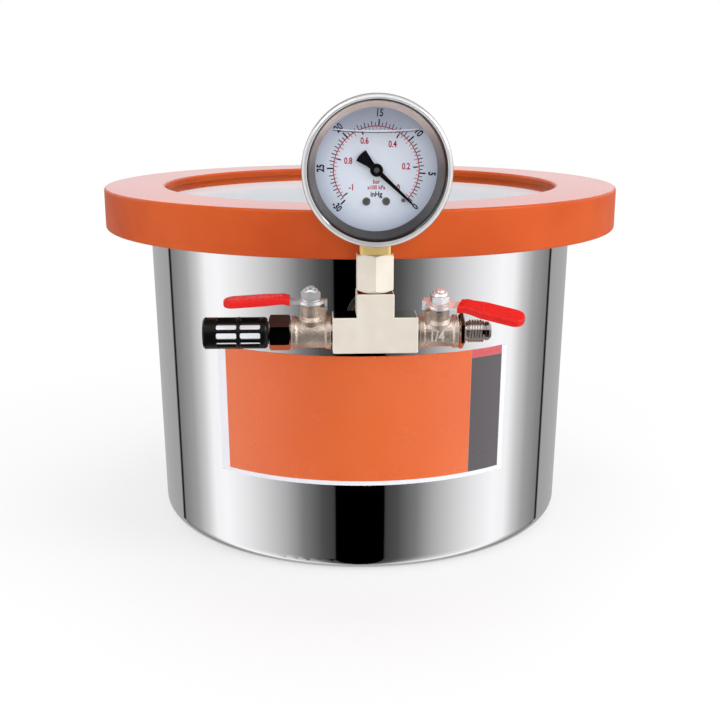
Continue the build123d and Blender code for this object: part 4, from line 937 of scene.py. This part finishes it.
# %% Slots cut round a tube
slots, given, result = new_tree(
    "slots_round_a_tube", takes_shape=True, Count=10, Rows=2, First=0.003, Slot_Length=0.0095,
    Slot_Width=0.0029, Corner=0.0008, Gap=0.0016, Inner=0.0045, Outer=0.009, Finish=None)
index = add(slots, "GeometryNodeInputIndex").outputs[0]
rows = maths(slots, "FLOOR", maths(slots, "DIVIDE", maths(slots, "ADD", index, 0.5), given["Count"]))
along = maths(slots, "ADD", maths(slots, "ADD", given["First"], maths(
    slots, "DIVIDE", given["Slot Length"], 2)), maths(slots, "MULTIPLY", rows, maths(
        slots, "ADD", given["Slot Length"], given["Gap"])))
turn_by = maths(slots, "SUBTRACT", maths(slots, "MULTIPLY", index, maths(
    slots, "DIVIDE", 2 * pi, given["Count"])), pi / 2)
spot = add(slots, "ShaderNodeCombineXYZ")
wire(slots, along, spot.inputs["X"])
spin = add(slots, "ShaderNodeCombineXYZ")
wire(slots, turn_by, spin.inputs["X"])
points = add(slots, "GeometryNodePoints")
wire(slots, maths(slots, "MULTIPLY", given["Count"], given["Rows"]), points.inputs["Count"])
wire(slots, spot.outputs[0], points.inputs["Position"])
outline = add(slots, "GeometryNodeCurvePrimitiveQuadrilateral")
wire(slots, given["Slot Length"], outline.inputs["Width"])
wire(slots, given["Slot Width"], outline.inputs["Height"])
rounded = add(slots, "GeometryNodeFilletCurve", mode="POLY")
rounded.inputs["Count"].default_value = 5
wire(slots, outline.outputs[0], rounded.inputs["Curve"])
wire(slots, given["Corner"], rounded.inputs["Radius"])
rail = add(slots, "GeometryNodeCurvePrimitiveLine")
for end, reach in (("Start", "Inner"), ("End", "Outer")):
    tip = add(slots, "ShaderNodeCombineXYZ")
    wire(slots, given[reach], tip.inputs["Z"])
    wire(slots, tip.outputs[0], rail.inputs[end])
cutter = add(slots, "GeometryNodeCurveToMesh")
cutter.inputs["Fill Caps"].default_value = True
wire(slots, rail.outputs[0], cutter.inputs["Curve"])
wire(slots, rounded.outputs[0], cutter.inputs["Profile Curve"])
cutters = add(slots, "GeometryNodeInstanceOnPoints")
wire(slots, points.outputs[0], cutters.inputs["Points"])
wire(slots, cutter.outputs[0], cutters.inputs["Instance"])
wire(slots, spin.outputs[0], cutters.inputs["Rotation"])
real = add(slots, "GeometryNodeRealizeInstances")
wire(slots, cutters.outputs[0], real.inputs[0])
cut = add(slots, "GeometryNodeMeshBoolean", operation="DIFFERENCE", solver="EXACT")
wire(slots, given["Shape"], cut.inputs["Mesh 1"])
wire(slots, real.outputs[0], cut.inputs["Mesh 2"])
end_tree(slots, cut.outputs["Mesh"], given["Finish"], result)

# %% The cage itself
cap_low, cage_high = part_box("filter_end_cap")[0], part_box("filter_cage")[1]
cage_radius, cage_length, cage_start = 7.5 * MM, 26.6 * MM, cap_low.x + 30.2 * MM
wall, spigot, band = 1.7 * MM, 5.4 * MM, 13.5 * MM
cage_profile = [
    (3.2 * MM, cage_start - cage_high.x), (spigot, cage_start - cage_high.x), (spigot, 0),
    (cage_radius - 0.9 * MM, 0),
    (cage_radius - 0.3 * MM, 0.5 * MM), (cage_radius, 1.4 * MM), (cage_radius, band - 0.6 * MM),
    (cage_radius + 0.15 * MM, band - 0.4 * MM), (cage_radius + 0.15 * MM, band + 0.4 * MM),
    (cage_radius, band + 0.6 * MM), (cage_radius, cage_length), (cage_radius - wall, cage_length),
    (cage_radius - wall, 2.2 * MM), (3.2 * MM, 2.2 * MM),
]
cage = grow(
    "filter_cage_slotted", slots,
    Matrix.Translation((cage_start, thread_middle.y, thread_middle.z)) @ Matrix.Rotation(pi, 4, "Z"), "chamber",
    "black_plastic", start_shape=turned_mesh("cage_tube", cage_profile, 120), First=3.2 * MM,
    Finish=black_nylon)
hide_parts("filter_cage")
cage.visible_shadow = cage.visible_diffuse = False  # light reaches the white element inside
for face in cage.data.polygons:
    face.use_smooth = True
cage.data.set_sharp_from_angle(angle=crease)

# %% [markdown]
# ## Size cast into the valve
# Such valves carry their thread size as raised figures. Flat figures are wrapped round the barrel, so
# that they lie on its curve.

# %% Raised size on the right valve
body_low, body_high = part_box("right_valve_body")
waist = 7.6 * MM
worn_nickel = metal_finish(
    "worn_nickel", (0.8, 0.72, 0.62), (0.96, 0.9, 0.8), (0.3, 0.42), 1500, 0.0001, metallic=0.5)
size_mesh = text_mesh("1/4", 7.2 * MM, 1, 0.2 * MM, Matrix(), thick=0.3 * MM)
middle_x = (body_low.x + body_high.x) / 2
for vertex in size_mesh.vertices:
    across, up, proud = vertex.co
    angle, radius = (up - 1.1 * MM) / waist, waist + proud
    vertex.co = (middle_x - 1.2 * MM + across * 0.78, thread_middle.y - radius * cos(angle),
                 thread_middle.z + radius * sin(angle))
size_mesh.materials.clear()
size_mesh.materials.append(worn_nickel)
keep("valve_size_mark", size_mesh, "chamber")
